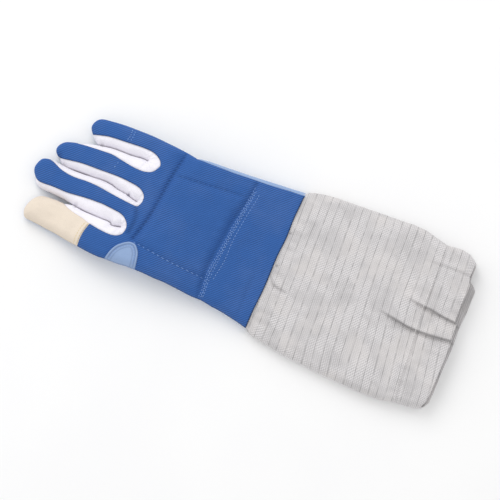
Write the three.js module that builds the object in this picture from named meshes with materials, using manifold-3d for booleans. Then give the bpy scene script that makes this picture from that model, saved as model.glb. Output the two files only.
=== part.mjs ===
// Fencing glove for the right hand, lying flat with the back of the hand up.
// Millimetres. +X runs from the fingertips to the cuff's mouth, +Y towards the little finger, +Z up.
// The glove is drawn from the seam between hand and cuff (x = 0) and centred on the floor at the end.
import * as THREE from 'three';
import { mergeVertices } from 'three/addons/utils/BufferGeometryUtils.js';
import Module from 'manifold-3d';

const wasm = await Module();
wasm.setup();

// Driving sizes

const HAND_LENGTH = 126.5; // cuff seam to the crotches between the fingers
const HAND_THICKNESS = 17; // over the padded back, palm to back
const SEAM_WIDTH = 125.5; // across the hand where the cuff is sewn on
const SEAM_THICKNESS = 14; // palm to back at the cuff seam
const CUFF_LENGTH = 165.5; // cuff seam to the furthest edge of the mouth
const CUFF_WIDTH = 148.2; // across the widest part of the cuff
const CUFF_THICKNESS = 17; // height of the cuff near its mouth
const FINGER_THICKNESS = 14; // a finger lying flat
const THUMB_LENGTH = 66; // root to tip, lying across under the palm
const THUMB_WIDTH = 33;
const THUMB_THICKNESS = 10;
const CAP_LENGTH = 54; // leather over the end of the index finger
const PATCH_LENGTH = 27.6; // leaf of leather at the root of the thumb, along the hand
const PATCH_DEPTH = 22.4; // the same leaf, in from the edge of the hand
const STRIP_WIDTH = 2.5; // palm leather that shows beside the back at the cuff seam
const STRIP_LENGTH = 93; // how far that leather shows from the cuff seam
const STRIP_END = 3; // over which it runs out
const INDEX_LENGTH = 85.1; // past the crotches, as for the other fingers
const INDEX_WIDTH = 30.2; // at the root
const MIDDLE_LENGTH = 91.4;
const MIDDLE_WIDTH = 28;
const RING_LENGTH = 81;
const RING_WIDTH = 33.2;
const LITTLE_LENGTH = 61.7;
const LITTLE_WIDTH = 21.4;

const BACK_WALL = 1.9; // cotton twill on thin padding
const CUFF_WALL = 1.3; // ribbed cuff cloth
const THUMB_WALL = 1.4; // leather
const PARTING_RISE = 0.3; // seam between back and palm, above the widest line
const SEAM_GAP = 0.3; // between sewn pieces, so that each stays a solid of its own
const FINGER_GAP = 0.8; // slit between neighbouring fingers

const PAD_RISE = 1.4; // the quilted pad over the back of the hand
const PAD_EDGE = 8; // over which it rises from its stitched edge
const CREASE_DEPTH = 1.8;
const CREASE_WIDTH = 5;
const FOLD_DEPTH = 4.4; // deepest lengthwise fold of the cuff
const FOLD_WIDTH = 3.2;

// Where the pad and the creases lie: shares of the hand's length and of half the knuckles' width, and
// how far a crease leans along the hand for each millimetre across it
const PAD_SPAN = { near: -0.66, far: 0.64 };
const KNUCKLE_CREASE = { along: 0.881, slant: 0.13 };
const WRIST_CREASE = { along: 0.375, slant: 0.09 };

// How the sections are rounded: a higher arch is flatter with tighter edges
const HAND_ARCH = 3.2;
const FINGER_ARCH = 2.5;
const THUMB_ARCH = 2.8;
const CUFF_ARCH = 4;
const EDGE_SHARE = 0.33; // height of a section's widest line, as a share of its thickness
const FLAT_UNDER = 1.15; // how much of the lower arch is cut off by the flat underside
const LEAST_CORE = 0.35; // least hollow left in a fingertip, as a share of its half width
const LEAST_HALF = 0.8; // least half width at the closed end of the thumb
const LEAST_RISE = 0.5; // least height above and below the widest line of a finger or the thumb
const RELIEF_REACH = 1.2; // how soon the relief reaches its full depth in from a side

// How finely the forms are drawn
const HAND_STEPS = 20;
const HAND_PLACES = 12;
const FINGER_PLACES = 7;
const THUMB_PLACES = 7;
const CUFF_STEPS = 18;
const CUFF_PLACES = { upper: 14, lower: 8 };
const OUTLINE_STEPS = 22;
const STRIP_STEPS = 5;
const PARTING_STEPS = 20;

// Fingers from the near edge of the hand to the far one, with a row for each section: along is a share
// of the length, near and far are shares of the width from the root's middle, and plump is the share of
// the full thickness.
const FINGERS = [
  {
    name: 'index', length: INDEX_LENGTH, width: INDEX_WIDTH,
    sections: [
      { along: -0.16, near: -0.46, far: 0.5, plump: 1 },
      { along: 0, near: -0.5, far: 0.5, plump: 1 },
      { along: 0.25, near: -0.5, far: 0.5, plump: 1 },
      { along: 0.5, near: -0.435, far: 0.513, plump: 1 },
      { along: 0.75, near: -0.37, far: 0.475, plump: 0.98 },
      { along: 0.88, near: -0.34, far: 0.43, plump: 0.9 },
      { along: 0.95, near: -0.33, far: 0.305, plump: 0.72 },
      { along: 0.985, near: -0.25, far: 0.13, plump: 0.45 },
      { along: 1, near: -0.16, far: -0.02, plump: 0.2 },
    ],
  },
  {
    name: 'middle', length: MIDDLE_LENGTH, width: MIDDLE_WIDTH,
    sections: [
      { along: -0.16, near: -0.5, far: 0.5, plump: 1 },
      { along: 0, near: -0.5, far: 0.5, plump: 1 },
      { along: 0.25, near: -0.486, far: 0.55, plump: 1 },
      { along: 0.5, near: -0.46, far: 0.557, plump: 1 },
      { along: 0.75, near: -0.396, far: 0.529, plump: 0.98 },
      { along: 0.88, near: -0.364, far: 0.56, plump: 0.9 },
      { along: 0.94, near: -0.257, far: 0.536, plump: 0.75 },
      { along: 0.98, near: -0.06, far: 0.4, plump: 0.45 },
      { along: 1, near: 0.05, far: 0.22, plump: 0.2 },
    ],
  },
  {
    name: 'ring', length: RING_LENGTH, width: RING_WIDTH,
    sections: [
      { along: -0.16, near: -0.5, far: 0.5, plump: 1 },
      { along: 0, near: -0.5, far: 0.5, plump: 1 },
      { along: 0.25, near: -0.458, far: 0.464, plump: 1 },
      { along: 0.5, near: -0.425, far: 0.413, plump: 1 },
      { along: 0.75, near: -0.47, far: 0.307, plump: 0.98 },
      { along: 0.88, near: -0.446, far: 0.18, plump: 0.9 },
      { along: 0.94, near: -0.337, far: 0.12, plump: 0.75 },
      { along: 0.98, near: -0.265, far: -0.01, plump: 0.45 },
      { along: 1, near: -0.21, far: -0.11, plump: 0.2 },
    ],
  },
  {
    name: 'little', length: LITTLE_LENGTH, width: LITTLE_WIDTH,
    sections: [
      { along: -0.2, near: -0.5, far: 0.4, plump: 0.97 },
      { along: 0, near: -0.5, far: 0.5, plump: 1 },
      { along: 0.25, near: -0.49, far: 0.51, plump: 1 },
      { along: 0.5, near: -0.556, far: 0.481, plump: 1 },
      { along: 0.75, near: -0.64, far: 0.416, plump: 0.96 },
      { along: 0.88, near: -0.603, far: 0.346, plump: 0.86 },
      { along: 0.94, near: -0.463, far: 0.266, plump: 0.7 },
      { along: 0.98, near: -0.31, far: 0.1, plump: 0.42 },
      { along: 1, near: -0.2, far: -0.06, plump: 0.2 },
    ],
  },
];

// White side strips between the fingers. Each edge runs from the crotch to where it leaves the finger:
// along is a share of that finger's length, across a share of its width from the line between the two.
const FOURCHETTES = [
  {
    name: 'fourchette_middle_index', near: 'index', far: 'middle', crotch: { along: 0, across: 0.04 },
    farEdge: [
      { along: 0.013, across: 0.18 }, { along: 0.048, across: 0.307 }, { along: 0.105, across: 0.396 },
      { along: 0.278, across: 0.439 }, { along: 0.474, across: 0.396 }, { along: 0.658, across: 0.321 },
      { along: 0.883, across: 0.289 }, { along: 0.965, across: 0.2 },
    ],
    nearEdge: [
      { along: 0.008, across: -0.116 }, { along: 0.039, across: -0.22 }, { along: 0.088, across: -0.28 },
      { along: 0.15, across: -0.298 }, { along: 0.342, across: -0.255 }, { along: 0.533, across: -0.149 },
      { along: 0.66, across: 0.05 },
    ],
  },
  {
    name: 'fourchette_ring_middle', near: 'middle', far: 'ring', crotch: { along: -0.04, across: 0.018 },
    farEdge: [
      { along: -0.025, across: 0.148 }, { along: 0.015, across: 0.241 }, { along: 0.08, across: 0.304 },
      { along: 0.21, across: 0.331 }, { along: 0.34, across: 0.331 }, { along: 0.535, across: 0.304 },
      { along: 0.833, across: 0.226 }, { along: 0.955, across: 0.15 },
    ],
    nearEdge: [
      { along: -0.022, across: -0.146 }, { along: 0.01, across: -0.21 }, { along: 0.071, across: -0.211 },
      { along: 0.175, across: -0.193 }, { along: 0.405, across: -0.121 }, { along: 0.624, across: -0.154 },
      { along: 0.784, across: -0.096 }, { along: 0.888, across: 0.1 },
    ],
  },
  {
    name: 'fourchette_little_ring', near: 'ring', far: 'little', crotch: { along: -0.066, across: 0.0 },
    farEdge: [
      { along: -0.032, across: 0.224 }, { along: 0.037, across: 0.364 }, { along: 0.113, across: 0.435 },
      { along: 0.361, across: 0.411 }, { along: 0.6, across: 0.346 }, { along: 0.77, across: 0.285 },
      { along: 0.872, across: 0.201 }, { along: 0.985, across: 0.08 },
    ],
    nearEdge: [
      { along: -0.012, across: -0.172 }, { along: 0.028, across: -0.241 }, { along: 0.093, across: -0.283 },
      { along: 0.198, across: -0.283 }, { along: 0.45, across: -0.205 }, { along: 0.704, across: -0.253 },
      { along: 0.885, across: -0.3 },
    ],
  },
];

// Hand from the cuff seam (0) to the crotches (1). near and far are shares of the half width there,
// flare is how far that width has grown from the knuckles' to the seam's, lift is how far the palm is
// raised by the folded thumb and thick is the share of the hand's thickness added to the seam's.
const HAND_SECTIONS = [
  { along: 0, near: -0.978, far: 1.02, flare: 1, lift: 0, thick: 0 },
  { along: 0.186, near: -0.963, far: 1.037, flare: 0.47, lift: 0.08, thick: 0.3 },
  { along: 0.375, near: -0.97, far: 1.03, flare: 0.12, lift: 0.34, thick: 0.6 },
  { along: 0.581, near: -0.956, far: 1.004, flare: 0, lift: 0.8, thick: 0.9 },
  { along: 0.72, near: -0.956, far: 0.978, flare: 0, lift: 1, thick: 1 },
  { along: 0.881, near: -0.968, far: 0.982, flare: 0, lift: 1, thick: 0.6 },
  { along: 0.965, near: -0.985, far: 0.99, flare: 0, lift: 1, thick: 0.1 },
];
const HAND_NOSE = 0.013; // rounding past the crotches, as a share of the hand's length
const NOSE_SECTIONS = [
  { past: 0.6, plump: 0.8 },
  { past: 1, plump: 0.5 },
];

// Underside of the fingers, by share of the longest finger, as a share of the thumb's lift
const FINGER_LIFT = [
  { along: 0, lift: 1 },
  { along: 0.12, lift: 0.97 },
  { along: 0.35, lift: 0.62 },
  { along: 0.6, lift: 0.2 },
  { along: 0.8, lift: 0 },
  { along: 1, lift: 0 },
];

// The cuff starts at the width of the seam: its edges there, in shares of half that width, and over what
// share of its length it takes up its own outline
const CUFF_START = { near: -0.99, far: 1.03, over: 0.05 };

// Cuff from the seam (0) to its mouth (1), in shares of the half width and of the thickness
const CUFF_SECTIONS = [
  { along: 0, near: -0.846, far: 0.869, thick: 0 },
  { along: 0.04, near: -0.88, far: 0.912, thick: 0.1 },
  { along: 0.1, near: -0.896, far: 0.943, thick: 0.2 },
  { along: 0.22, near: -0.934, far: 0.97, thick: 0.3 },
  { along: 0.37, near: -0.95, far: 0.997, thick: 0.4 },
  { along: 0.57, near: -0.966, far: 1.034, thick: 0.6 },
  { along: 0.686, near: -0.964, far: 1.007, thick: 0.75 },
  { along: 0.764, near: -0.953, far: 0.966, thick: 0.85 },
  { along: 0.843, near: -0.908, far: 0.99, thick: 1 },
  { along: 0.915, near: -0.893, far: 0.94, thick: 0.95 },
  { along: 0.97, near: -0.86, far: 0.91, thick: 0.9 },
  { along: 1, near: -0.8, far: 0.86, thick: 0.8 },
];

// Mouth of the cuff: how much of its length each layer has, by share of the half width
const CUFF_MOUTH = [
  { across: -1.1, upper: 0.985, lower: 0.985 },
  { across: -0.85, upper: 0.998, lower: 1 },
  { across: -0.68, upper: 0.982, lower: 0.992 },
  { across: -0.1, upper: 0.98, lower: 0.988 },
  { across: 0.1, upper: 0.965, lower: 0.985 },
  { across: 0.22, upper: 0.95, lower: 0.982 },
  { across: 0.6, upper: 0.952, lower: 0.98 },
  { across: 0.66, upper: 0.948, lower: 0.97 },
  { across: 0.8, upper: 0.932, lower: 0.94 },
  { across: 1.1, upper: 0.936, lower: 0.936 },
];

// Lengthwise folds in the upper layer of the cuff: across and along in shares of the half width and of
// the length, deep and wide in shares of the deepest fold. A ridge is a fold with a depth below zero.
const CUFF_FOLDS = [
  { across: 0.18, from: 0.7, to: 1, deep: 0.77, wide: 0.88 },
  { across: -0.065, from: 0.53, to: 1, deep: 1, wide: 1 },
  { across: 0.06, from: 0.62, to: 1, deep: -0.34, wide: 1.56 },
  { across: 0.7, from: 0.72, to: 1, deep: 0.36, wide: 0.94 },
];

// Thumb from its root (0) to its tip (1), in shares of its width and thickness
const THUMB_SECTIONS = [
  { along: 0, wide: 0.55, plump: 0.35 },
  { along: 0.03, wide: 0.8, plump: 0.7 },
  { along: 0.08, wide: 0.95, plump: 0.94 },
  { along: 0.16, wide: 1, plump: 1 },
  { along: 0.45, wide: 0.94, plump: 1 },
  { along: 0.7, wide: 0.82, plump: 1 },
  { along: 0.86, wide: 0.7, plump: 0.95 },
  { along: 0.94, wide: 0.54, plump: 0.78 },
  { along: 0.985, wide: 0.32, plump: 0.5 },
  { along: 1, wide: 0.16, plump: 0.25 },
];
const THUMB_PLACE = 0.885; // its middle, as a share of the hand's length
const THUMB_TUCK = 0.25; // how far its root lies in from the edge, as a share of the hand's thickness
const THUMB_MOUTH = { from: 0.1, to: 0.4, wide: 0.62 }; // opening between thumb and palm

// Leaf at the root of the thumb: along its length and in from the edge of the hand
const PATCH_OUTLINE = [
  { along: 0, across: -0.3 }, { along: 0.01, across: 0.05 }, { along: 0.054, across: 0.33 },
  { along: 0.152, across: 0.61 }, { along: 0.286, across: 0.82 }, { along: 0.438, across: 0.96 },
  { along: 0.57, across: 1 }, { along: 0.7, across: 0.955 }, { along: 0.82, across: 0.8 },
  { along: 0.895, across: 0.64 }, { along: 0.946, across: 0.4 }, { along: 0.99, across: 0.1 },
  { along: 1, across: -0.3 },
];
const PATCH_PLACE = 0.9366; // middle of the leaf, as a share of the hand's length

// Sizes that follow

const knuckleWidth = FINGERS.reduce((sum, finger) => sum + finger.width, 0);
const lift = THUMB_THICKNESS + SEAM_GAP;
const longest = Math.max(...FINGERS.map((finger) => finger.length));
const crotchX = -HAND_LENGTH;
const cuffHalf = CUFF_WIDTH / 2;
const nearEdgeY = -knuckleWidth / 2;
const PAST = 40; // how far a cutting form runs past what it cuts
const FLOOR = -PAST;
const CEILING = HAND_THICKNESS + CUFF_THICKNESS + THUMB_THICKNESS + PAST;

let rootY = nearEdgeY;
for (const finger of FINGERS) {
  finger.nearY = rootY;
  finger.middleY = rootY + finger.width / 2;
  rootY += finger.width;
}
const fingerNamed = (name) => FINGERS.find((finger) => finger.name === name);

// Reading a table: the value of one column between its rows
function readTable(rows, key, value, column) {
  const last = rows.length - 1;
  if (value <= rows[0][key]) return rows[0][column];
  for (let i = 0; i < last; i += 1) {
    const a = rows[i];
    const b = rows[i + 1];
    if (value <= b[key]) {
      return THREE.MathUtils.mapLinear(value, a[key], b[key], a[column], b[column]);
    }
  }
  return rows[last][column];
}

const bell = (distance, width) => Math.exp(-((distance / width) ** 2));

// Underside of the glove over the floor, on the hand and on the fingers
function undersideAt(x) {
  if (x >= crotchX) return lift * readTable(HAND_SECTIONS, 'along', -x / HAND_LENGTH, 'lift');
  return lift * readTable(FINGER_LIFT, 'along', (crotchX - x) / longest, 'lift');
}

// Height of the hand, palm to back
function handThicknessAt(along) {
  const share = readTable(HAND_SECTIONS, 'along', along, 'thick');
  return THREE.MathUtils.lerp(SEAM_THICKNESS, HAND_THICKNESS, share);
}

// Height of the seam between back and palm: just over the widest line of the hand and the fingers
function partingAt(x) {
  const thickness = x >= crotchX ? handThicknessAt(-x / HAND_LENGTH) : FINGER_THICKNESS;
  return undersideAt(x) + thickness * EDGE_SHARE + PARTING_RISE;
}

// Relief of the back: creases at the knuckles and the wrist and the raised pad between them
const creaseX = (crease, y) => -HAND_LENGTH * crease.along + crease.slant * y;
function backRelief(x, y) {
  const knuckleX = creaseX(KNUCKLE_CREASE, y);
  const wristX = creaseX(WRIST_CREASE, y);
  const half = knuckleWidth / 2;
  const into = Math.min(
    x - knuckleX, wristX - x, y - PAD_SPAN.near * half, PAD_SPAN.far * half - y,
  );
  const pad = PAD_RISE * THREE.MathUtils.smoothstep(into, 0, PAD_EDGE);
  return pad - CREASE_DEPTH * (bell(x - knuckleX, CREASE_WIDTH) + bell(x - wristX, CREASE_WIDTH));
}

// Relief of the cuff's upper layer: its lengthwise folds, deeper towards the mouth
function cuffRelief(x, y) {
  const along = x / CUFF_LENGTH;
  let rise = 0;
  for (const fold of CUFF_FOLDS) {
    const grown = THREE.MathUtils.smoothstep(along, fold.from, (fold.from + fold.to) / 2);
    rise -= FOLD_DEPTH * fold.deep * grown * bell(y - fold.across * cuffHalf, FOLD_WIDTH * fold.wide);
  }
  return rise;
}

// A closed mesh from rings with as many points each, with a fan over both ends
function solidFromRings(rings) {
  const count = rings[0].length;
  const positions = rings.flat().flatMap((point) => [point.x, point.y, point.z]);
  const index = [];
  for (let i = 0; i < rings.length - 1; i += 1) {
    for (let j = 0; j < count; j += 1) {
      const a = i * count + j;
      const b = i * count + ((j + 1) % count);
      index.push(a, b, b + count, a, b + count, a + count);
    }
  }
  const capEnd = (ring, first, outwards) => {
    const middle = new THREE.Vector3();
    ring.forEach((point) => middle.addScaledVector(point, 1 / count));
    const centre = positions.length / 3;
    positions.push(middle.x, middle.y, middle.z);
    for (let j = 0; j < count; j += 1) {
      const a = first + j;
      const b = first + ((j + 1) % count);
      index.push(...(outwards ? [centre, a, b] : [centre, b, a]));
    }
  };
  capEnd(rings[0], 0, false);
  capEnd(rings[rings.length - 1], (rings.length - 1) * count, true);
  const geometry = new THREE.BufferGeometry();
  geometry.setAttribute('position', new THREE.Float32BufferAttribute(positions, 3));
  geometry.setIndex(index);
  return toManifold(geometry);
}

function toManifold(geometry) {
  const bare = geometry.clone();
  bare.deleteAttribute('normal');
  bare.deleteAttribute('uv');
  const merged = mergeVertices(bare, 1e-4);
  const solid = new wasm.Manifold(new wasm.Mesh({
    numProp: 3,
    vertProperties: new Float32Array(merged.attributes.position.array),
    triVerts: new Uint32Array(merged.index.array),
  }));
  return solid.volume() < 0 ? toManifold(flipped(merged)) : solid;
}

function flipped(geometry) {
  const copy = geometry.clone();
  const turned = Array.from(geometry.index.array);
  for (let i = 0; i < turned.length; i += 3) [turned[i], turned[i + 1]] = [turned[i + 1], turned[i]];
  copy.setIndex(turned);
  return copy;
}

// Places across a section, from the far edge (1) to the near one (-1), closer towards the edges
const acrossPlaces = (count, extra = []) => {
  const places = Array.from({ length: count + 1 }, (_, i) => Math.cos((Math.PI * i) / count));
  return [...places, ...extra].sort((a, b) => b - a);
};

// One closed section across the glove: an upper and a flattened lower arch that meet at both edges
function sectionRing({ x, near, far, low, high, upper, lower, arch, relief }) {
  const middle = (near + far) / 2;
  const half = (far - near) / 2;
  const widest = low + (high - low) * EDGE_SHARE;
  const archShare = (u) => (1 - Math.abs(u) ** arch) ** (1 / arch);
  const points = upper.map((u) => {
    const y = middle + half * u;
    const share = archShare(u);
    const rise = relief ? relief(x, y) * Math.min(1, share * RELIEF_REACH) : 0;
    return new THREE.Vector3(x, y, widest + (high - widest) * share + rise);
  });
  for (const u of lower.slice(1, -1).reverse()) {
    const drop = Math.min(1, archShare(u) * FLAT_UNDER);
    points.push(new THREE.Vector3(x, middle + half * u, widest - (widest - low) * drop));
  }
  return points;
}

// Hand, outside or inside: inset is the wall taken off
function handForm(inset) {
  const across = acrossPlaces(HAND_PLACES);
  const ringAt = (x, plump) => {
    const along = THREE.MathUtils.clamp(-x / HAND_LENGTH, 0, 1);
    const read = (column) => readTable(HAND_SECTIONS, 'along', along, column);
    const half = THREE.MathUtils.lerp(knuckleWidth, SEAM_WIDTH, read('flare')) / 2;
    const thickness = handThicknessAt(along);
    const low = undersideAt(Math.max(x, crotchX));
    const widest = low + thickness * EDGE_SHARE;
    const squeeze = (z) => widest + (z - widest) * plump;
    return sectionRing({
      x,
      near: half * read('near') + inset,
      far: half * read('far') - inset,
      low: squeeze(low + inset),
      high: squeeze(low + thickness - inset),
      upper: across,
      lower: across,
      arch: HAND_ARCH,
      relief: plump === 1 ? backRelief : null,
    });
  };
  const rings = [];
  const start = inset > 0 ? 1 : -SEAM_GAP;
  for (let i = 0; i <= HAND_STEPS; i += 1) {
    rings.push(ringAt(THREE.MathUtils.lerp(start, crotchX + inset, i / HAND_STEPS), 1));
  }
  for (const row of NOSE_SECTIONS) {
    rings.push(ringAt(crotchX + inset - HAND_NOSE * HAND_LENGTH * row.past, row.plump));
  }
  return solidFromRings(rings);
}

// Finger, outside or inside
function fingerForm(finger, inset) {
  const across = acrossPlaces(FINGER_PLACES);
  const reach = finger.length - inset;
  const rings = finger.sections.map((row) => {
    const x = crotchX - row.along * reach;
    const fullHalf = ((row.far - row.near) * finger.width - FINGER_GAP) / 2;
    const half = Math.max(fullHalf - inset, fullHalf * LEAST_CORE);
    const middle = finger.middleY + ((row.far + row.near) / 2) * finger.width;
    const low = undersideAt(x);
    const widest = low + FINGER_THICKNESS * EDGE_SHARE;
    const down = Math.max(FINGER_THICKNESS * EDGE_SHARE * row.plump - inset, LEAST_RISE);
    const up = Math.max(FINGER_THICKNESS * (1 - EDGE_SHARE) * row.plump - inset, LEAST_RISE);
    const ring = {
      x, near: middle - half, far: middle + half, low: widest - down, high: widest + up,
      upper: across, lower: across, arch: FINGER_ARCH,
    };
    return sectionRing(ring);
  });
  return solidFromRings(rings);
}

// A prism standing on a plan outline
function prism(points, low, high) {
  const shape = new THREE.Shape(points.map((point) => new THREE.Vector2(point.x, point.y)));
  const geometry = new THREE.ExtrudeGeometry(shape, { depth: high - low, bevelEnabled: false });
  geometry.translate(0, 0, low);
  return toManifold(geometry);
}

// The same outline moved outwards by a margin
function grown(points, margin) {
  const sign = THREE.ShapeUtils.isClockWise(points) ? -1 : 1;
  return points.map((point, i) => {
    const before = points[(i + points.length - 1) % points.length];
    const after = points[(i + 1) % points.length];
    const direction = new THREE.Vector2().subVectors(after, before).normalize();
    return new THREE.Vector2(point.x + direction.y * margin * sign, point.y - direction.x * margin * sign);
  });
}

// A smooth line through a few points
const smoothLine = (points, steps) => new THREE.SplineCurve(points).getPoints(steps);

// Everything above the seam between back and palm, lowered by a margin
function abovePalm(margin) {
  const profile = [];
  const endX = crotchX - longest - PAST;
  for (let i = 0; i <= PARTING_STEPS; i += 1) {
    const x = THREE.MathUtils.lerp(PAST, endX, i / PARTING_STEPS);
    profile.push(new THREE.Vector2(x, partingAt(Math.min(x, 0)) - margin));
  }
  const top = lift + HAND_THICKNESS + PAST;
  profile.push(new THREE.Vector2(endX, top), new THREE.Vector2(PAST, top));
  const geometry = new THREE.ExtrudeGeometry(new THREE.Shape(profile), {
    depth: knuckleWidth + SEAM_WIDTH, bevelEnabled: false,
  });
  geometry.rotateX(Math.PI / 2);
  geometry.translate(0, (knuckleWidth + SEAM_WIDTH) / 2, 0);
  return toManifold(geometry);
}

// Plan outline of one white strip
function fourchetteOutline(strip) {
  const near = fingerNamed(strip.near);
  const far = fingerNamed(strip.far);
  const place = (finger, row) => new THREE.Vector2(
    crotchX - row.along * finger.length, far.nearY + row.across * finger.width,
  );
  const line = [
    ...strip.nearEdge.map((row) => place(near, row)).reverse(),
    place(far, strip.crotch),
    ...strip.farEdge.map((row) => place(far, row)),
  ];
  return smoothLine(line, OUTLINE_STEPS);
}

// Plan outline of the leaf at the root of the thumb
function patchOutline() {
  const start = -HAND_LENGTH * PATCH_PLACE - PATCH_LENGTH / 2;
  return PATCH_OUTLINE.map((row) => new THREE.Vector2(
    start + row.along * PATCH_LENGTH, nearEdgeY + row.across * PATCH_DEPTH,
  ));
}

// Plan outline of the index finger's cap
function capOutline() {
  const index = fingerNamed('index');
  const tipX = crotchX - index.length;
  const edgeX = tipX + CAP_LENGTH;
  const farY = index.nearY + index.width;
  return [
    new THREE.Vector2(tipX - PAST, nearEdgeY - PAST), new THREE.Vector2(edgeX, nearEdgeY - PAST),
    new THREE.Vector2(edgeX, farY), new THREE.Vector2(tipX - PAST, farY),
  ];
}

// Plan outline of the blue back: the palm's leather shows as a strip past its far edge near the cuff
function backOutline() {
  const tipX = crotchX - longest - PAST;
  const far = knuckleWidth / 2 + PAST;
  const stripStart = -STRIP_LENGTH;
  const farAt = (x) => {
    const along = -x / HAND_LENGTH;
    const flare = readTable(HAND_SECTIONS, 'along', along, 'flare');
    const half = THREE.MathUtils.lerp(knuckleWidth, SEAM_WIDTH, flare) / 2;
    return half * readTable(HAND_SECTIONS, 'along', along, 'far') - STRIP_WIDTH;
  };
  const points = [
    new THREE.Vector2(PAST, -far), new THREE.Vector2(PAST, farAt(0)), new THREE.Vector2(0, farAt(0)),
  ];
  for (let i = 1; i <= STRIP_STEPS; i += 1) {
    const x = (stripStart * i) / STRIP_STEPS;
    points.push(new THREE.Vector2(x, farAt(x)));
  }
  points.push(new THREE.Vector2(stripStart - STRIP_END, far), new THREE.Vector2(tipX, far));
  points.push(new THREE.Vector2(tipX, -far));
  return points;
}

// Thumb, outside or inside: it lies across the hand under the palm
const thumbX = -HAND_LENGTH * THUMB_PLACE;
const thumbRootY = nearEdgeY + HAND_THICKNESS * THUMB_TUCK;
function thumbForm(inset) {
  const across = acrossPlaces(THUMB_PLACES);
  const rings = THUMB_SECTIONS.map((row) => {
    const y = thumbRootY + inset + row.along * (THUMB_LENGTH - 2 * inset);
    const half = Math.max((THUMB_WIDTH / 2) * row.wide - inset, LEAST_HALF);
    const widest = THUMB_THICKNESS * EDGE_SHARE;
    const ring = sectionRing({
      x: 0, near: -half, far: half,
      low: widest - Math.max(widest * row.plump - inset, LEAST_RISE),
      high: widest + Math.max((THUMB_THICKNESS - widest) * row.plump - inset, LEAST_RISE),
      upper: across, lower: across, arch: THUMB_ARCH,
    });
    return ring.map((point) => new THREE.Vector3(thumbX - point.y, y, point.z));
  });
  return solidFromRings(rings);
}

// The opening from the palm into the thumb
function thumbMouth(margin) {
  const half = (THUMB_WIDTH * THUMB_MOUTH.wide) / 2 + margin;
  const from = thumbRootY + THUMB_LENGTH * THUMB_MOUTH.from - margin;
  const to = thumbRootY + THUMB_LENGTH * THUMB_MOUTH.to + margin;
  const outline = [
    new THREE.Vector2(thumbX - half, from), new THREE.Vector2(thumbX + half, from),
    new THREE.Vector2(thumbX + half, to), new THREE.Vector2(thumbX - half, to),
  ];
  return prism(outline, THUMB_THICKNESS / 2, lift + HAND_THICKNESS / 3);
}

// Cuff, outside or inside
function cuffForm(inset) {
  const deepFolds = CUFF_FOLDS.filter((fold) => fold.deep > 0.5);
  const beside = deepFolds.flatMap((fold) => [-1.1, -0.5, 0, 0.5, 1.1].map(
    (step) => fold.across + (step * FOLD_WIDTH * fold.wide) / cuffHalf,
  ));
  const upper = acrossPlaces(CUFF_PLACES.upper, beside);
  const lower = acrossPlaces(CUFF_PLACES.lower);
  const rings = [];
  for (let i = 0; i <= CUFF_STEPS; i += 1) {
    const share = i / CUFF_STEPS;
    const x = inset > 0 ? THREE.MathUtils.lerp(-1, CUFF_LENGTH + 1, share) : CUFF_LENGTH * share;
    const read = (column) => readTable(CUFF_SECTIONS, 'along', x / CUFF_LENGTH, column);
    const start = THREE.MathUtils.clamp(1 - x / (CUFF_LENGTH * CUFF_START.over), 0, 1);
    const thickness = THREE.MathUtils.lerp(SEAM_THICKNESS, CUFF_THICKNESS, read('thick'));
    const seamHalf = SEAM_WIDTH / 2;
    rings.push(sectionRing({
      x,
      near: THREE.MathUtils.lerp(cuffHalf * read('near'), seamHalf * CUFF_START.near, start) + inset,
      far: THREE.MathUtils.lerp(cuffHalf * read('far'), seamHalf * CUFF_START.far, start) - inset,
      low: inset,
      high: thickness - inset,
      upper,
      lower,
      arch: CUFF_ARCH,
      relief: cuffRelief,
    }));
  }
  return solidFromRings(rings);
}

// What lies past the mouth of one layer of the cuff
function pastMouth(column, low, high) {
  const points = CUFF_MOUTH.map((row) => new THREE.Vector2(CUFF_LENGTH * row[column], cuffHalf * row.across));
  const endX = CUFF_LENGTH + PAST;
  points.push(new THREE.Vector2(endX, cuffHalf + PAST), new THREE.Vector2(endX, -cuffHalf - PAST));
  return prism(points, low, high);
}

// Materials, one to each kind of cloth and leather
const finish = (color, roughness) => new THREE.MeshStandardMaterial({ color, roughness, metalness: 0 });
const twill = finish(0x38629f, 0.85);
const paleLeather = finish(0x9fbce0, 0.6);
const whiteLeather = finish(0xe9e5f0, 0.65);
const creamLeather = finish(0xece0cf, 0.7);
const cuffCloth = finish(0xd3d0d0, 0.75);

const glove = new THREE.Group();

// Adds one piece, keeping its main body where a cut has left crumbs
function addPiece(name, solid, material) {
  const bodies = solid.decompose();
  const main = bodies.reduce((best, body) => (body.volume() > best.volume() ? body : best));
  const mesh = main.getMesh();
  const geometry = new THREE.BufferGeometry();
  geometry.setAttribute('position', new THREE.BufferAttribute(new Float32Array(mesh.vertProperties), 3));
  geometry.setIndex(new THREE.BufferAttribute(new Uint32Array(mesh.triVerts), 1));
  geometry.computeVertexNormals();
  const piece = new THREE.Mesh(geometry, material);
  piece.name = name;
  glove.add(piece);
}

// Hand and fingers as one hollow form
let outside = handForm(0);
let inside = handForm(BACK_WALL);
for (const finger of FINGERS) {
  outside = outside.add(fingerForm(finger, 0));
  inside = inside.add(fingerForm(finger, BACK_WALL));
}
const shell = outside.subtract(inside);

// That form is cut into its sewn pieces, with a seam gap around each
const above = abovePalm(0);
const aboveWider = abovePalm(SEAM_GAP);
const standing = (outline, margin) => prism(grown(outline, margin), FLOOR, CEILING);

let fourchetteRoom = null;
for (const strip of FOURCHETTES) {
  const outline = fourchetteOutline(strip);
  addPiece(strip.name, shell.intersect(standing(outline, 0)).intersect(above), whiteLeather);
  const room = standing(outline, SEAM_GAP).intersect(aboveWider);
  fourchetteRoom = fourchetteRoom ? fourchetteRoom.add(room) : room;
}

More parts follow.
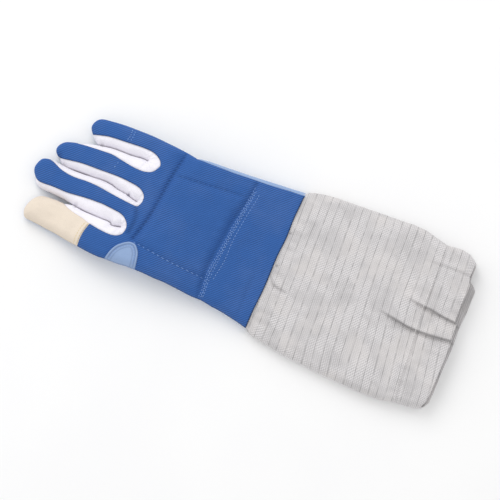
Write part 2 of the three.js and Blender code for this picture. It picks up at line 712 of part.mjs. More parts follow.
const patchRoom = standing(patchOutline(), SEAM_GAP);
const patch = shell.intersect(standing(patchOutline(), 0)).subtract(thumbMouth(0));
addPiece('thumb_patch', patch, paleLeather);

const capRoom = standing(capOutline(), SEAM_GAP);
const cap = shell.intersect(standing(capOutline(), 0)).subtract(fourchetteRoom);
addPiece('index_cap', cap, creamLeather);

const back = shell.intersect(standing(backOutline(), 0)).intersect(above);
const backRoom = standing(backOutline(), SEAM_GAP).intersect(aboveWider);
addPiece('back_panel', back.subtract(fourchetteRoom).subtract(patchRoom).subtract(capRoom), twill);

const palm = shell.subtract(backRoom).subtract(fourchetteRoom).subtract(patchRoom).subtract(capRoom);
addPiece('palm_panel', palm.subtract(thumbMouth(0)), paleLeather);

addPiece('thumb', thumbForm(0).subtract(thumbForm(THUMB_WALL)).subtract(thumbMouth(0)), paleLeather);

const cuffTube = cuffForm(0).subtract(cuffForm(CUFF_WALL));
const layerHeight = CUFF_THICKNESS * EDGE_SHARE;
const cuffEnds = pastMouth('upper', layerHeight, CEILING).add(pastMouth('lower', FLOOR, layerHeight));
addPiece('cuff', cuffTube.subtract(cuffEnds), cuffCloth);

// The middle of the glove goes to the origin, with the floor under it
const box = new THREE.Box3().setFromObject(glove);
const middle = box.getCenter(new THREE.Vector3());
glove.position.set(-middle.x, -middle.y, -box.min.z);

export default glove;
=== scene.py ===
import math

import bpy
import numpy as np
from bpy.props import FloatProperty, FloatVectorProperty, PointerProperty
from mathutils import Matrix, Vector
from mathutils.geometry import delaunay_2d_cdt


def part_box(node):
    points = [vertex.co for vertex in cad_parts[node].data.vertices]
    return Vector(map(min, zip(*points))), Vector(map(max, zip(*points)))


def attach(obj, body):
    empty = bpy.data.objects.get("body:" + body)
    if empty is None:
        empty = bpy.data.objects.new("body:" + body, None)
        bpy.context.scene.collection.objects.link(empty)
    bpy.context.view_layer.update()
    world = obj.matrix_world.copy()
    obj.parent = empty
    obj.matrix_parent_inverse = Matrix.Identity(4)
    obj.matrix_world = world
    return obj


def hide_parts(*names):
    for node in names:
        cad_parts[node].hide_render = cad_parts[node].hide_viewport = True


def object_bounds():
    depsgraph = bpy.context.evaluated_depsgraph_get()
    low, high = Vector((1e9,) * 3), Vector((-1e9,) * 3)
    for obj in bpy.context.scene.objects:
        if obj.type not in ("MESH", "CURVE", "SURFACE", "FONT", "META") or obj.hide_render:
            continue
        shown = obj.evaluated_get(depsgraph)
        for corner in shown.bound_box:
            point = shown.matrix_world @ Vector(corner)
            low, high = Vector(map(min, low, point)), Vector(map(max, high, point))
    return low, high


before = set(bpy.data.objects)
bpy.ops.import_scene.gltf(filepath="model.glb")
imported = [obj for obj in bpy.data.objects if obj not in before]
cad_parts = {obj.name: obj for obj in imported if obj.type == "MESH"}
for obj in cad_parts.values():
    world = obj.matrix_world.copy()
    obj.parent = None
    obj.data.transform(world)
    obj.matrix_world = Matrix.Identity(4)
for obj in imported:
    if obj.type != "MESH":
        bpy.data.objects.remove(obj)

bl_info = {
    "name": "Fencing glove",
    "version": (1, 0, 0),
    "blender": (4, 5, 0),
    "location": "View3D > Sidebar > Glove",
    "description": "Builds a right-hand fencing glove around its packed solids",
    "category": "Add Mesh",
}

CAD_BOUNDS = [list(corner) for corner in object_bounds()]
MM = 0.001
TINY = 1e-9

# The outlines are drawn flat, in millimetres, with the cuff seam at SEAM_X. This moves them onto the
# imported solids.
SEAM_X = 23.5
DRAWN_MIDDLE_Y = 1.9
SHIFT = np.array([
    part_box("cuff")[0].x / MM - SEAM_X,
    (CAD_BOUNDS[0][1] + CAD_BOUNDS[1][1]) / 2 / MM - DRAWN_MIDDLE_Y,
])

# The outlines are where things show from the camera, on a plane at this height
AZIMUTH = math.radians(24)
ELEVATION = math.radians(80)
VIEW_WIDTH = 420
LENS = 120
SENSOR = 36
TO_EYE = np.array([
    math.sin(AZIMUTH) * math.cos(ELEVATION), -math.cos(AZIMUTH) * math.cos(ELEVATION),
    math.sin(ELEVATION),
])
TARGET = np.array([*SHIFT, 10.0])
EYE = TARGET + TO_EYE * VIEW_WIDTH * LENS / SENSOR

FLOOR_TO_PALM = 10.3
FLOOR_GAP = 0.02
HAND_LENGTH = 126.5
LONGEST_FINGER = 91.4
WIDEST_SHARE = 0.33

# Outlines of the twill back, from the near edge of the hand round the fingers to the far edge
NEAR_EDGE = [
    (SEAM_X, -62), (15, -60.2), (0, -57.8), (-10, -57), (-20, -55.8), (-30, -56), (-40, -55.3),
    (-55, -54.5), (-65, -54.7), (-75, -54.5), (-88.4, -55), (-96.8, -56), (-109.5, -56.6),
    (-114.7, -57.2), (-125.3, -56.9), (-134.2, -56),
]
CAP_SEAM = [(-134.2, -56), (-134.9, -48.2), (-134.2, -40.8), (-132.6, -34.5)]
INDEX_MIDDLE_EDGE = [
    (-132.6, -34.5), (-123.2, -35.5), (-115.8, -35.8), (-110.5, -35.3), (-106.3, -33.4),
    (-103.7, -30.3), (-102.9, -25.5), (-104.2, -21.8), (-107.4, -18.2), (-112.6, -15.7),
    (-120, -15), (-128.4, -14.5), (-135.8, -14.7), (-146.3, -15.7), (-154.7, -16.8),
    (-163.2, -17.8), (-174.7, -18), (-183.7, -18.7), (-187.4, -18.5), (-190.5, -17.1),
]
MIDDLE_TIP = [
    (-190.5, -17.1), (-193.8, -13.4), (-195.3, -9.5), (-194.7, -4.9), (-192.5, -0.2), (-188.4, 1.8),
    (-184.6, 2.1),
]
MIDDLE_RING_EDGE = [
    (-184.6, 2.1), (-180, 0.5), (-174.7, -1.5), (-167.4, -2.9), (-160, -3.1), (-150.5, -2.2),
    (-140, -2.2), (-130.5, -3.1), (-119, -4.2), (-109.5, -4.7), (-103.2, -4.7), (-101, -2.9),
    (-99.8, 1.8), (-101, 6.1), (-104.2, 9.2), (-109.5, 11.3), (-120, 12.2), (-130.5, 12.2),
    (-146.3, 11.3), (-160, 10.3), (-170.5, 8.7), (-179.3, 7.1),
]
RING_TIP = [
    (-179.3, 7.1), (-183.6, 9.2), (-185.3, 12.9), (-183.8, 17.6), (-180, 21.3), (-174.7, 23.4),
    (-169.5, 24.7),
]
RING_LITTLE_EDGE = [
    (-169.5, 24.7), (-165.3, 25.4), (-160, 26), (-148.4, 27.1), (-139.5, 27.6), (-130.5, 26.4),
    (-119, 25), (-110.5, 25), (-105.3, 26.4), (-102, 28.7), (-99.5, 32.9), (-98.9, 35.5),
    (-101, 39.2), (-105.3, 42.2), (-110, 43.7), (-114.7, 43.9), (-125.3, 43.2), (-140, 41.8),
    (-150.5, 40.5), (-156.8, 38.7), (-162.6, 36.6),
]
LITTLE_TIP = [
    (-162.6, 36.6), (-166.1, 41.8), (-165, 47.6), (-160.6, 51.8), (-151.6, 53.6), (-140, 55),
    (-130.5, 55.5), (-114.7, 56), (-100, 55.5), (-83, 54.5), (-72.6, 53.4),
]
FAR_BLUE_EDGE = [
    (-72.6, 53.4), (-60, 53.8), (-50, 54.3), (-35, 55.3), (-20, 56.6), (-10, 57.4), (0, 58.5),
    (10, 59.7), (SEAM_X, 61),
]
FAR_EDGE = [
    (-72.6, 53.4), (-69, 54.3), (-64, 55.1), (-60, 55.6), (-50, 56.3), (-40, 57.1), (-20, 58.9),
    (0, 61), (10, 62), (SEAM_X, 63.5),
]
CAP_TIP = [
    (-134.2, -56), (-136.8, -55.8), (-146.3, -55), (-154.7, -53.9), (-167.4, -52.9),
    (-177.9, -52.2), (-184.7, -51.6), (-187.4, -48.2), (-188.1, -43.9), (-186.8, -38.2),
    (-184.2, -33.4), (-180, -29.7), (-175.8, -28.4), (-167.4, -27.6), (-160, -27.5),
]
CAP_INNER_EDGE = [(-160, -27.5), (-154.7, -29.7), (-148.4, -31.3), (-140, -32.6), (-132.6, -34.5)]

CUFF_SEAM = [(SEAM_X, 61), (23.1, 40), (23.9, 22), (23.2, 2), (24, -24), (23.3, -48), (SEAM_X, -62)]

# Where the white sides of the fingers end in the outline, and the lines along which they touch
INDEX_MIDDLE_MOUTH = [
    (-160, -27.5), (-155.5, -26.5), (-151.6, -25.5), (-155.5, -24.9), (-161, -24.3),
    (-172.6, -23.7), (-181, -23.7), (-186.3, -22.4), (-189.5, -19.7), (-190.5, -17.1),
]
MIDDLE_RING_MOUTH = [
    (-184.6, 2.1), (-182, 2.7), (-178.6, 2.4), (-175.2, 2.4), (-177.9, 4.5), (-179.3, 7.1),
]
RING_LITTLE_MOUTH = [
    (-169.5, 24.7), (-163.2, 27.6), (-157.5, 29.1), (-153.2, 30.3), (-155.8, 30.9), (-159.5, 33.4),
    (-162.6, 36.6),
]
INDEX_MIDDLE_SLIT = [
    (-151.6, -25.5), (-142.1, -26.6), (-129.5, -26.6), (-117.5, -26.4), (-114.7, -28.3),
    (-107.4, -26.6),
]
MIDDLE_RING_SLIT = [
    (-175.2, 2.4), (-167.4, 1.8), (-156.8, 2.2), (-146.3, 3.1), (-137.9, 3.9), (-130.5, 3.6),
    (-123.2, 2), (-114.7, 1.1), (-108.4, -0.6), (-103.7, -1.3),
]
RING_LITTLE_SLIT = [
    (-153.2, 30.3), (-146.3, 31.8), (-137.9, 32.9), (-125.3, 33.4), (-114.7, 34.7), (-110, 34.5),
]
SMALL_HOLE = (-112.6, 1.2)
PATCH_EDGE = [
    (-108.9, -56.9), (-107.4, -49.2), (-104.7, -42.9), (-101, -38.7), (-96.8, -35.5),
    (-93.2, -34.3), (-89.5, -35), (-86.3, -38.2), (-84.2, -41.8), (-82.8, -47.1), (-81.3, -54.6),
]

# Lines on the back of the hand
KNUCKLE_CREASE = [
    (-83, 53), (-84.2, 45.5), (-86.3, 27.6), (-87.4, 11.8), (-88.4, -0.8), (-90, -12.4),
    (-92.1, -22.9), (-94.2, -31.3),
]
KNUCKLE_FOLD = [(-102.5, -5.6), (-99.5, -12), (-98.6, -20), (-99.6, -28)]
WRIST_CREASE = [
    (-17.5, 54), (-18.4, 44.5), (-20.6, 32.9), (-23.6, 16.1), (-24.7, 1.3), (-26.4, -14.5),
    (-26.9, -30.3), (-25.5, -44), (-24.5, -54),
]
PAD_NEAR_SEAM = [
    (-91.5, -33.6), (-78.9, -34.8), (-68.4, -35.8), (-60, -36.6), (-45.3, -37.4), (-27.5, -37.9),
]
PAD_FAR_SEAM = [(-82, 33.2), (-75, 34), (-60, 35.6), (-45, 37.6), (-22, 40)]
WRIST_STITCHES = [
    [(-17.6, 50), (-18.8, 38), (-20, 24.5), (-21.6, 11.8), (-22.1, 1.3), (-23.7, -17.6),
     (-24.7, -33.4), (-23.2, -46), (-23, -53)],
    [(-15.4, 47), (-16.8, 30.8), (-18.2, 14), (-19.5, -0.8), (-20.5, -19.7), (-21, -35.5),
     (-20, -48.2), (-19.8, -52)],
    [(-11.9, 45), (-12.6, 38.2), (-14.7, 22.4), (-16.3, 1.3), (-15.8, -16.6), (-17.9, -34.5)],
]

# Cuff: its edges, the ends of its two layers and its folds
CUFF_FAR_EDGE = [
    (21, 62), (SEAM_X, 62.9), (26, 65), (30, 67), (40, 69.3), (50, 70.7), (60, 71.3), (75, 72.5),
    (90, 73.6), (100, 74.3), (110, 75), (118, 76), (130, 75.5), (137, 74), (143, 72.5), (150, 71),
    (156, 72), (163, 72.8), (171, 71.5), (175, 69), (178.5, 66), (190, 60),
]
CUFF_NEAR_EDGE = [
    (21, -60.4), (SEAM_X, -61.4), (26, -63.9), (30, -65.8), (40, -67), (50, -68.3), (60, -69.8),
    (70, -70.3), (85, -71), (95, -71.7), (110, -72), (125, -72.2), (140, -72), (148, -71.5),
    (155, -70), (161, -68), (170, -67.5), (178, -66), (184, -63.5), (188, -61), (190, -60),
]
UPPER_END = [
    (-72, 180.5), (-64, 181.8), (-58, 184.6), (-50, 185.5), (-25, 185.3), (-6, 185), (-2, 184),
    (12, 183), (15, 180.7), (30, 180.4), (46, 180.8), (50, 179), (54, 177.7), (66, 178.5),
    (76, 178.5),
]
LOWER_END = [
    (-72, 181), (-62, 184.8), (-57, 187.2), (-48, 187.5), (-30, 187), (-10, 187.4), (10, 186.2),
    (25, 186.8), (44, 186.4), (47, 184), (50, 179.6), (66, 178.8), (76, 178.8),
]
HEM_SEAM = [
    (-72, 161.5), (-68, 161), (-50, 158), (-30, 157), (-10, 155), (10, 153), (35, 152), (55, 151),
    (72, 150), (76, 150),
]


def placed(points):
    """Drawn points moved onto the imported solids, in millimetres."""
    return np.asarray(points, float) + SHIFT


def raised(points, height):
    """Placed points moved along the line of sight from the drawn plane to a height."""
    rise = (np.asarray(height) - TARGET[2]) / (EYE[2] - TARGET[2])
    return points + (EYE[:2] - points) * rise[:, None]


def smooth_line(points, step, before_it=None, after_it=None):
    """A smooth line through a few points, with a point about every step. A neighbouring line's next
    point makes the join smooth too."""
    points = np.asarray(points, float)
    first = 2 * points[0] - points[1] if before_it is None else np.asarray(before_it, float)
    last = 2 * points[-1] - points[-2] if after_it is None else np.asarray(after_it, float)
    padded = np.vstack([first, points, last])
    line = []
    for i in range(1, len(padded) - 2):
        before, a, b, after = padded[i - 1:i + 3]
        count = max(2, int(np.linalg.norm(b - a) / step + 0.5))
        for t in np.arange(count) / count:
            line.append(0.5 * (
                2 * a + (b - before) * t + (2 * before - 5 * a + 4 * b - after) * t ** 2
                + (3 * a - before - 3 * b + after) * t ** 3
            ))
    line.append(points[-1])
    return np.array(line)


BACK_RING = (
    NEAR_EDGE, CAP_SEAM, INDEX_MIDDLE_EDGE, MIDDLE_TIP, MIDDLE_RING_EDGE, RING_TIP, RING_LITTLE_EDGE,
    LITTLE_TIP, FAR_BLUE_EDGE,
)
OUTER_RING = (
    NEAR_EDGE, CAP_TIP, INDEX_MIDDLE_MOUTH, MIDDLE_TIP, MIDDLE_RING_MOUTH, RING_TIP,
    RING_LITTLE_MOUTH, LITTLE_TIP, FAR_EDGE,
)
LOW_LINES = (*OUTER_RING, INDEX_MIDDLE_SLIT, MIDDLE_RING_SLIT, RING_LITTLE_SLIT)
LARGEST_SMOOTH_TURN = math.radians(55)


def turn(a, b, c):
    """How far a line turns at the middle one of three points."""
    one = math.atan2(b[1] - a[1], b[0] - a[0])
    two = math.atan2(c[1] - b[1], c[0] - b[0])
    return abs((two - one + math.pi) % (2 * math.pi) - math.pi)


def neighbours(part):
    """The points just before and after a part of an outline, where it joins the next part smoothly."""
    for ring in (BACK_RING, OUTER_RING):
        found = [i for i, other in enumerate(ring) if other is part]
        if not found:
            continue
        i = found[0]
        before = ring[i - 1][-2] if i else None
        after = ring[i + 1][1] if i + 1 < len(ring) else None
        if before and turn(before, part[0], part[1]) > LARGEST_SMOOTH_TURN:
            before = None
        if after and turn(part[-2], part[-1], after) > LARGEST_SMOOTH_TURN:
            after = None
        return before, after
    return None, None


LINES = {}


def line_of(points, step=0.7):
    """A drawn line, smooth and moved onto the glove's own surface. It is worked out once."""
    key = (id(points), step)
    if key not in LINES:
        flat = placed(smooth_line(points, step, *neighbours(points)))
        if any(points is other for other in LOW_LINES):
            line = raised(flat, widest_at(flat[:, 0]))
        else:
            line = flat
            for _ in range(2):
                line = raised(flat, bare_height(line)[0])
        LINES[key] = (points, line)
    return LINES[key][1]


def chained(*parts):
    """One closed outline from lines that meet end to end. A part given backwards is (part, -1)."""
    runs = [line_of(part[0])[::-1] if part[-1] == -1 else line_of(part) for part in parts]
    return np.vstack([run[:-1] for run in runs])


AT_ONCE = 4000


def distance_to(points, *lines, closed=False):
    """Distance from each point to the nearest of the lines."""
    starts = []
    ends = []
    for line in lines:
        starts.append(line if closed else line[:-1])
        ends.append(np.roll(line, -1, axis=0) if closed else line[1:])
    start = np.vstack(starts)
    span = np.vstack(ends) - start
    length2 = np.maximum((span ** 2).sum(1), TINY ** 2)
    nearest = np.empty(len(points))
    for i in range(0, len(points), AT_ONCE):
        to = points[i:i + AT_ONCE, None, :] - start[None]
        t = np.clip((to * span[None]).sum(2) / length2, 0, 1)
        nearest[i:i + AT_ONCE] = np.sqrt(((to - t[..., None] * span[None]) ** 2).sum(2).min(1))
    return nearest


def inside_of(points, outline):
    """Which points lie inside a closed outline."""
    x, y = points[:, 0], points[:, 1]
    found = np.zeros(len(points), bool)
    for a, b in zip(outline, np.roll(outline, -1, axis=0)):
        if a[1] == b[1]:
            continue
        crosses = (a[1] > y) != (b[1] > y)
        found ^= crosses & (x < a[0] + (y - a[1]) * (b[0] - a[0]) / (b[1] - a[1]))
    return found


def unit(vectors):
    """The same directions with a length of 1."""
    return vectors / np.maximum(np.linalg.norm(vectors, axis=-1, keepdims=True), TINY)


def inward(outline):
    """The direction into a closed outline at each of its points, square to its edge."""
    after = np.roll(outline, -1, axis=0)
    tangent = unit(after - np.roll(outline, 1, axis=0))
    area = (outline[:, 0] * after[:, 1] - outline[:, 1] * after[:, 0]).sum()
    return np.stack([-tangent[:, 1], tangent[:, 0]], 1) * math.copysign(1, area)


def bell(distance, width):
    """A smooth bump: 1 at no distance, and next to nothing past twice the width."""
    return np.exp(-(distance / width) ** 2)


def rounded(distance, radius):
    """Quarter of a circle: 0 at the edge, 1 from the radius inwards."""
    return np.sqrt(np.clip(1 - (1 - np.clip(distance / radius, 0, 1)) ** 2, 0, 1))


def eased(value, low, high):
    """0 up to the low value, 1 from the high one, and smooth between."""
    t = np.clip((value - low) / (high - low), 0, 1)
    return t * t * (3 - 2 * t)


def ripples(points, length, seed, count=12):
    """Soft even unevenness between about -1 and 1, from waves that run in fixed directions."""
    random = np.random.default_rng(seed)
    total = np.zeros(len(points))
    for _ in range(count):
        angle = random.uniform(0, 2 * math.pi)
        wave = 2 * math.pi / (length * random.uniform(0.7, 1.5))
        total += np.sin(
            wave * (points[:, 0] * math.cos(angle) + points[:, 1] * math.sin(angle))
            + random.uniform(0, 2 * math.pi)
        )
    return total / math.sqrt(count)


# Heights along the glove: the palm over the floor and the thickness over the palm
TABLE_X = np.arange(-230, 60, 1.0)
BLUR = 9


def along_table(rows, xs):
    """Values given at some places along the glove, at every place of TABLE_X and blurred a little."""
    full = np.pad(np.interp(TABLE_X, xs, rows), BLUR // 2, mode="edge")
    return np.convolve(full, np.ones(BLUR) / BLUR, "valid")


# Rows along the glove: shares of the longest finger, out from the crotches, and of the hand, back
# from the cuff's seam
FINGER_ROWS = np.array([1, 0.8, 0.6, 0.35, 0.12])
HAND_ROWS = np.array([0.965, 0.881, 0.72, 0.581, 0.375, 0.186, 0])
SOLID_SEAM_X = SEAM_X + SHIFT[0]
CROTCH_X = SOLID_SEAM_X - HAND_LENGTH
LOW_X = np.concatenate([
    CROTCH_X - LONGEST_FINGER * FINGER_ROWS, SOLID_SEAM_X - HAND_LENGTH * HAND_ROWS,
])
LOW = along_table(
    FLOOR_TO_PALM * np.array([0, 0, 0.2, 0.62, 0.97, 1, 1, 1, 0.8, 0.34, 0.08, 0]), LOW_X,
)
THICK = along_table(
    np.array([14, 14, 14, 14, 14, 14.3, 15.8, 17, 16.7, 15.8, 14.9, 14]), LOW_X,
)


def low_at(x):
    """Height of the underside."""
    return np.interp(x, TABLE_X, LOW)


def thick_at(x):
    """Thickness of the hand and fingers."""
    return np.interp(x, TABLE_X, THICK)


def widest_at(x):
    """Height of the side seam, where the glove is widest."""
    return low_at(x) + thick_at(x) * WIDEST_SHARE


EDGE_SHARE, EDGE_RADIUS, SLOW_RADIUS = 0.64, 6.5, 36


def sides(distance):
    """Share of the height at a distance in from the side: a tight edge, then a slow rise."""
    slow = (1 - EDGE_SHARE) * rounded(distance, SLOW_RADIUS)
    return EDGE_SHARE * rounded(distance, EDGE_RADIUS) + slow


def away_from(side):
    """Share of the relief that shows at a distance in from the side, so that the outline stays."""
    return np.clip(sides(side) * 1.15, 0, 1) ** 2


def flat_under(side):
    """Share of the way down from the side seam to the underside, at a distance in from the side."""
    return np.clip(sides(side * 1.6) * 1.12, 0, 1)


def bare_height(points):
    """The form without its creases: height and distance to its side."""
    side = distance_to(points, *SILHOUETTE, *SLITS)
    rise = thick_at(points[:, 0]) * (1 - WIDEST_SHARE)
    return widest_at(points[:, 0]) + rise * sides(side), side


SILHOUETTE = [line_of(part) for part in OUTER_RING]
SLITS = [line_of(part) for part in (INDEX_MIDDLE_SLIT, MIDDLE_RING_SLIT, RING_LITTLE_SLIT)]
PAD_OUTLINE = np.vstack([
    line_of(PAD_NEAR_SEAM), line_of(WRIST_CREASE[1:7][::-1])[2:-2], line_of(PAD_FAR_SEAM[::-1]),
    line_of(KNUCKLE_CREASE[1:])[2:-2],
])


# Height of the pad and the slope at its edge, and depth and width of the creases round it
PAD_RISE, PAD_SLOPE = 1.5, 7
KNUCKLE_DEPTH, KNUCKLE_WIDTH = 2.0, 3.1
FOLD_DEPTH, FOLD_WIDTH = 1.5, 2.4
WRIST_DEPTH, WRIST_WIDTH = 2.0, 2.4
ROW_GROOVE, ROW_GROOVE_WIDTH = 0.4, 0.9
KNUCKLE_GATHERS, QUILT_GATHERS = 1.9, 1.45
FINGER_DIP = (-172, -9)


def back_relief(points):
    """Creases, the quilted pad and the unevenness of the back of the hand and fingers."""
    x, y = (points - SHIFT).T
    knuckle = distance_to(points, line_of(KNUCKLE_CREASE))
    fold = distance_to(points, line_of(KNUCKLE_FOLD))
    wrist = distance_to(points, line_of(WRIST_CREASE))
    quilted = distance_to(points, line_of(PAD_NEAR_SEAM), line_of(PAD_FAR_SEAM))
    rows = distance_to(points, *[line_of(row) for row in WRIST_STITCHES])
    pad_edge = distance_to(points, PAD_OUTLINE, closed=True)
    relief = PAD_RISE * np.where(inside_of(points, PAD_OUTLINE), eased(pad_edge, 0, PAD_SLOPE), 0)
    relief -= KNUCKLE_DEPTH * bell(knuckle, KNUCKLE_WIDTH)
    relief -= WRIST_DEPTH * bell(wrist, WRIST_WIDTH)
    gathers = (0.75 + 0.3 * np.sin(y * KNUCKLE_GATHERS)) * bell(knuckle, 1.1)
    relief -= gathers + FOLD_DEPTH * bell(fold, FOLD_WIDTH)
    relief -= (0.75 + 0.2 * np.sin(x * QUILT_GATHERS)) * bell(quilted, 1.3)
    relief -= ROW_GROOVE * bell(rows, ROW_GROOVE_WIDTH)
    # A swelling past the knuckles, ripples beside the wrist and a dip in the middle finger
    relief += 0.8 * bell(x + 98 - 0.11 * y, 5) * eased(y, -34, -20)
    relief += 0.28 * bell(wrist - 5, 4) * np.sin(0.62 * y + 0.08 * x)
    relief -= 0.9 * bell(np.hypot(x - FINGER_DIP[0], y - FINGER_DIP[1]), 4.5)
    relief += 0.32 * ripples(points, 26, 3) + 0.12 * ripples(points, 9, 4)
    # A soft fold beside the cuff's seam, on the near side
    return relief - 0.9 * bell(x - 12 + 0.03 * y, 2.2) * eased(-y, 5, 40)


def form_height(points):
    """The stuffed form that the leather and the twill lie on: height and distance to its side."""
    height, side = bare_height(points)
    return height + back_relief(points) * away_from(side), side


# Rows of points inside an edge, and the step of rows in a grid of even triangles
INSETS = (0.12, 0.3, 0.6, 1.0, 1.5, 2.1, 2.9, 3.8)
INSET_KEPT = 0.93
ROW_STEP = 0.866
MERGED_WITHIN = 1e-4


def plan_mesh(outline, grid, lines=()):
    """Points and triangles that fill a flat outline: rows along its edge and a grid inside."""
    into = inward(outline)
    points = [outline]
    for inset in INSETS:
        moved = outline + into * inset
        moved = moved[inside_of(moved, outline)]
        points.append(moved[distance_to(moved, outline, closed=True) > INSET_KEPT * inset])
    low, high = outline.min(0), outline.max(0)
    rows = []
    for i, y in enumerate(np.arange(low[1], high[1], grid * ROW_STEP)):
        xs = np.arange(low[0] + (i % 2) * grid / 2, high[0], grid)
        rows.append(np.column_stack([xs, np.full(len(xs), y)]))
    inner = np.vstack(rows)
    inner = inner[inside_of(inner, outline)]
    inner = inner[distance_to(inner, outline, closed=True) > INSETS[-1] + 0.5 * grid]
    edges = [(i, (i + 1) % len(outline)) for i in range(len(outline))]
    total = sum(len(p) for p in points)
    for line in lines:
        inside = line[inside_of(line, outline)]
        inner = inner[distance_to(inner, inside) > 0.45 * grid]
        points.append(inside)
        edges += [(total + i, total + i + 1) for i in range(len(inside) - 1)]
        total += len(inside)
    points.append(inner)
    everything = np.vstack(points)
    verts, _, faces, *_ = delaunay_2d_cdt([Vector(p) for p in everything], edges, [], 1, MERGED_WITHIN)
    return np.array([tuple(v) for v in verts]), faces


def put_in_scene(name, data):
    """A new object at the origin that shows a mesh, curve, light or camera."""
    item = bpy.data.objects.new(name, data)
    bpy.context.scene.collection.objects.link(item)
    return item


def make_object(name, verts, faces, material):
    """A mesh object in metres from points in millimetres, smooth, with outward faces."""
    mesh = bpy.data.meshes.new(name)
    mesh.from_pydata((np.asarray(verts) * MM).tolist(), [], faces)
    mesh.validate()
    mesh.update()
    mesh.materials.append(material)
    mesh.polygons.foreach_set("use_smooth", np.ones(len(mesh.polygons), bool))
    return put_in_scene(name, mesh)


def sheet_mesh(plan, triangles, upper, lower):
    """A closed sheet between two heights over the same plan."""
    count = len(plan)
    verts = np.vstack([np.column_stack([plan, upper]), np.column_stack([plan, lower])])
    ordered = []
    for face in triangles:
        a, b, c = (plan[i] for i in face)
        if (b[0] - a[0]) * (c[1] - a[1]) - (b[1] - a[1]) * (c[0] - a[0]) < 0:
            face = face[::-1]
        ordered.append(tuple(face))
    edges = [edge for face in ordered for edge in zip(face, face[1:] + face[:1])]
    known = set(edges)
    faces = ordered + [tuple(count + i for i in face[::-1]) for face in ordered]
    faces += [(b, a, count + a, count + b) for a, b in edges if (b, a) not in known]
    return verts, faces


# Name of the attribute that carries painted shade: creases, folds, slits, seams, turned edges and
# undersides
PAINTED_SHADE_ATTRIBUTE = "edge"


def shade_edges(piece, shades):
    """Sets how far each point of a piece is darkened with painted shade where it is stitched, creased or
    turned under.
    """
    attribute = piece.data.attributes.new(PAINTED_SHADE_ATTRIBUTE, "FLOAT", "POINT")
    attribute.data.foreach_set("value", np.asarray(shades, np.float32))


def make_sheet(name, plan, triangles, upper, lower, material, shades, beneath=1.0):
    """A closed sheet with painted shade on its upper side, and one painted shade all over its underside.
    """
    piece = make_object(name, *sheet_mesh(plan, triangles, upper, lower), material)
    shade_edges(piece, np.concatenate([shades, np.full(len(plan), beneath)]))
    return piece


def finish_piece(piece, slot, *nodes):
    """Gives a piece its body and hides the solids that it stands for. Its slot is not used."""
    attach(piece, "root")
    if nodes:
        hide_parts(*nodes)


def sizes():
    return bpy.context.scene.glove_sizes


def colours():
    return bpy.context.scene.glove_colours


# Shader groups. Each puts out masks and heights only.

def new_group(name, **inputs):
    """A shader group that reads a place on the cloth or leather, in metres, and some numbers."""
    group = bpy.data.node_groups.new(name, "ShaderNodeTree")
    group.interface.new_socket("Place", in_out="INPUT", socket_type="NodeSocketVector")
    for label, value in inputs.items():
        socket = group.interface.new_socket(
            label.replace("_", " "), in_out="INPUT", socket_type="NodeSocketFloat",
        )
        socket.default_value = value
    start = group.nodes.new("NodeGroupInput").outputs
    return group, start, start["Place"]


def put_out(group, **results):
    """Makes the group's outputs and joins them to the results."""
    for label in results:
        group.interface.new_socket(label, in_out="OUTPUT", socket_type="NodeSocketFloat")
    end = group.nodes.new("NodeGroupOutput")
    for label, result in results.items():
        group.links.new(result, end.inputs[label])
    return group


def maths(tree, operation, a, b=None, c=None):
    """One step of arithmetic on outputs or plain numbers."""
    node = tree.nodes.new("ShaderNodeMath")
    node.operation = operation
    for i, value in enumerate((a, b, c)):
        if value is None:
            continue
        if isinstance(value, (int, float)):
            node.inputs[i].default_value = value
        else:
            tree.links.new(value, node.inputs[i])
    return node.outputs[0]


def noise(tree, place, scale, detail=2.0, rough=0.5):
    node = tree.nodes.new("ShaderNodeTexNoise")
    node.inputs["Scale"].default_value = scale
    node.inputs["Detail"].default_value = detail
    node.inputs["Roughness"].default_value = rough
    tree.links.new(place, node.inputs["Vector"])
    return node.outputs["Fac"]


def between(tree, value, low, high, out_low=0.0, out_high=1.0):
    """A number that eases from one output to the other while the value goes from low to high."""
    node = tree.nodes.new("ShaderNodeMapRange")
    node.interpolation_type = "SMOOTHSTEP"
    numbers = {"From Min": low, "From Max": high, "To Min": out_low, "To Max": out_high}
    for label, number in numbers.items():
        node.inputs[label].default_value = number
    tree.links.new(value, node.inputs["Value"])
    return node.outputs["Result"]


def coordinates(tree, place):
    """The three numbers of a place."""
    node = tree.nodes.new("ShaderNodeSeparateXYZ")
    tree.links.new(place, node.inputs[0])
    return node.outputs


TWILL_ANGLE = math.radians(46)


def twill_group():
    """Slanting twill lines with the threads between them."""
    group, start, place = new_group("twill_weave", Pitch=0.0015)
    x, y, z = coordinates(group, place)
    over, up = math.cos(TWILL_ANGLE), math.sin(TWILL_ANGLE)
    across = maths(group, "MULTIPLY_ADD", y, over, maths(group, "MULTIPLY", x, -up))
    across = maths(group, "MULTIPLY_ADD", z, 0.18, across)
    along = maths(group, "MULTIPLY_ADD", x, over, maths(group, "MULTIPLY", y, up))
    wobble = maths(group, "MULTIPLY", noise(group, place, 45, 2), 0.0016)
    turns = maths(group, "DIVIDE", maths(group, "ADD", across, wobble), start["Pitch"])
    line = waves(group, turns)
    threads = maths(group, "DIVIDE", maths(group, "MULTIPLY", along, 2.1), start["Pitch"])
    threads = waves(group, maths(group, "ADD", threads, maths(group, "MULTIPLY", turns, 0.5)))
    weave = maths(group, "MULTIPLY", maths(group, "MULTIPLY", threads, line), 0.35)
    height = maths(group, "ADD", maths(group, "MULTIPLY", line, 0.65), weave)
    return put_out(group, Height=height, Fade=noise(group, place, 28, 4, 0.6))


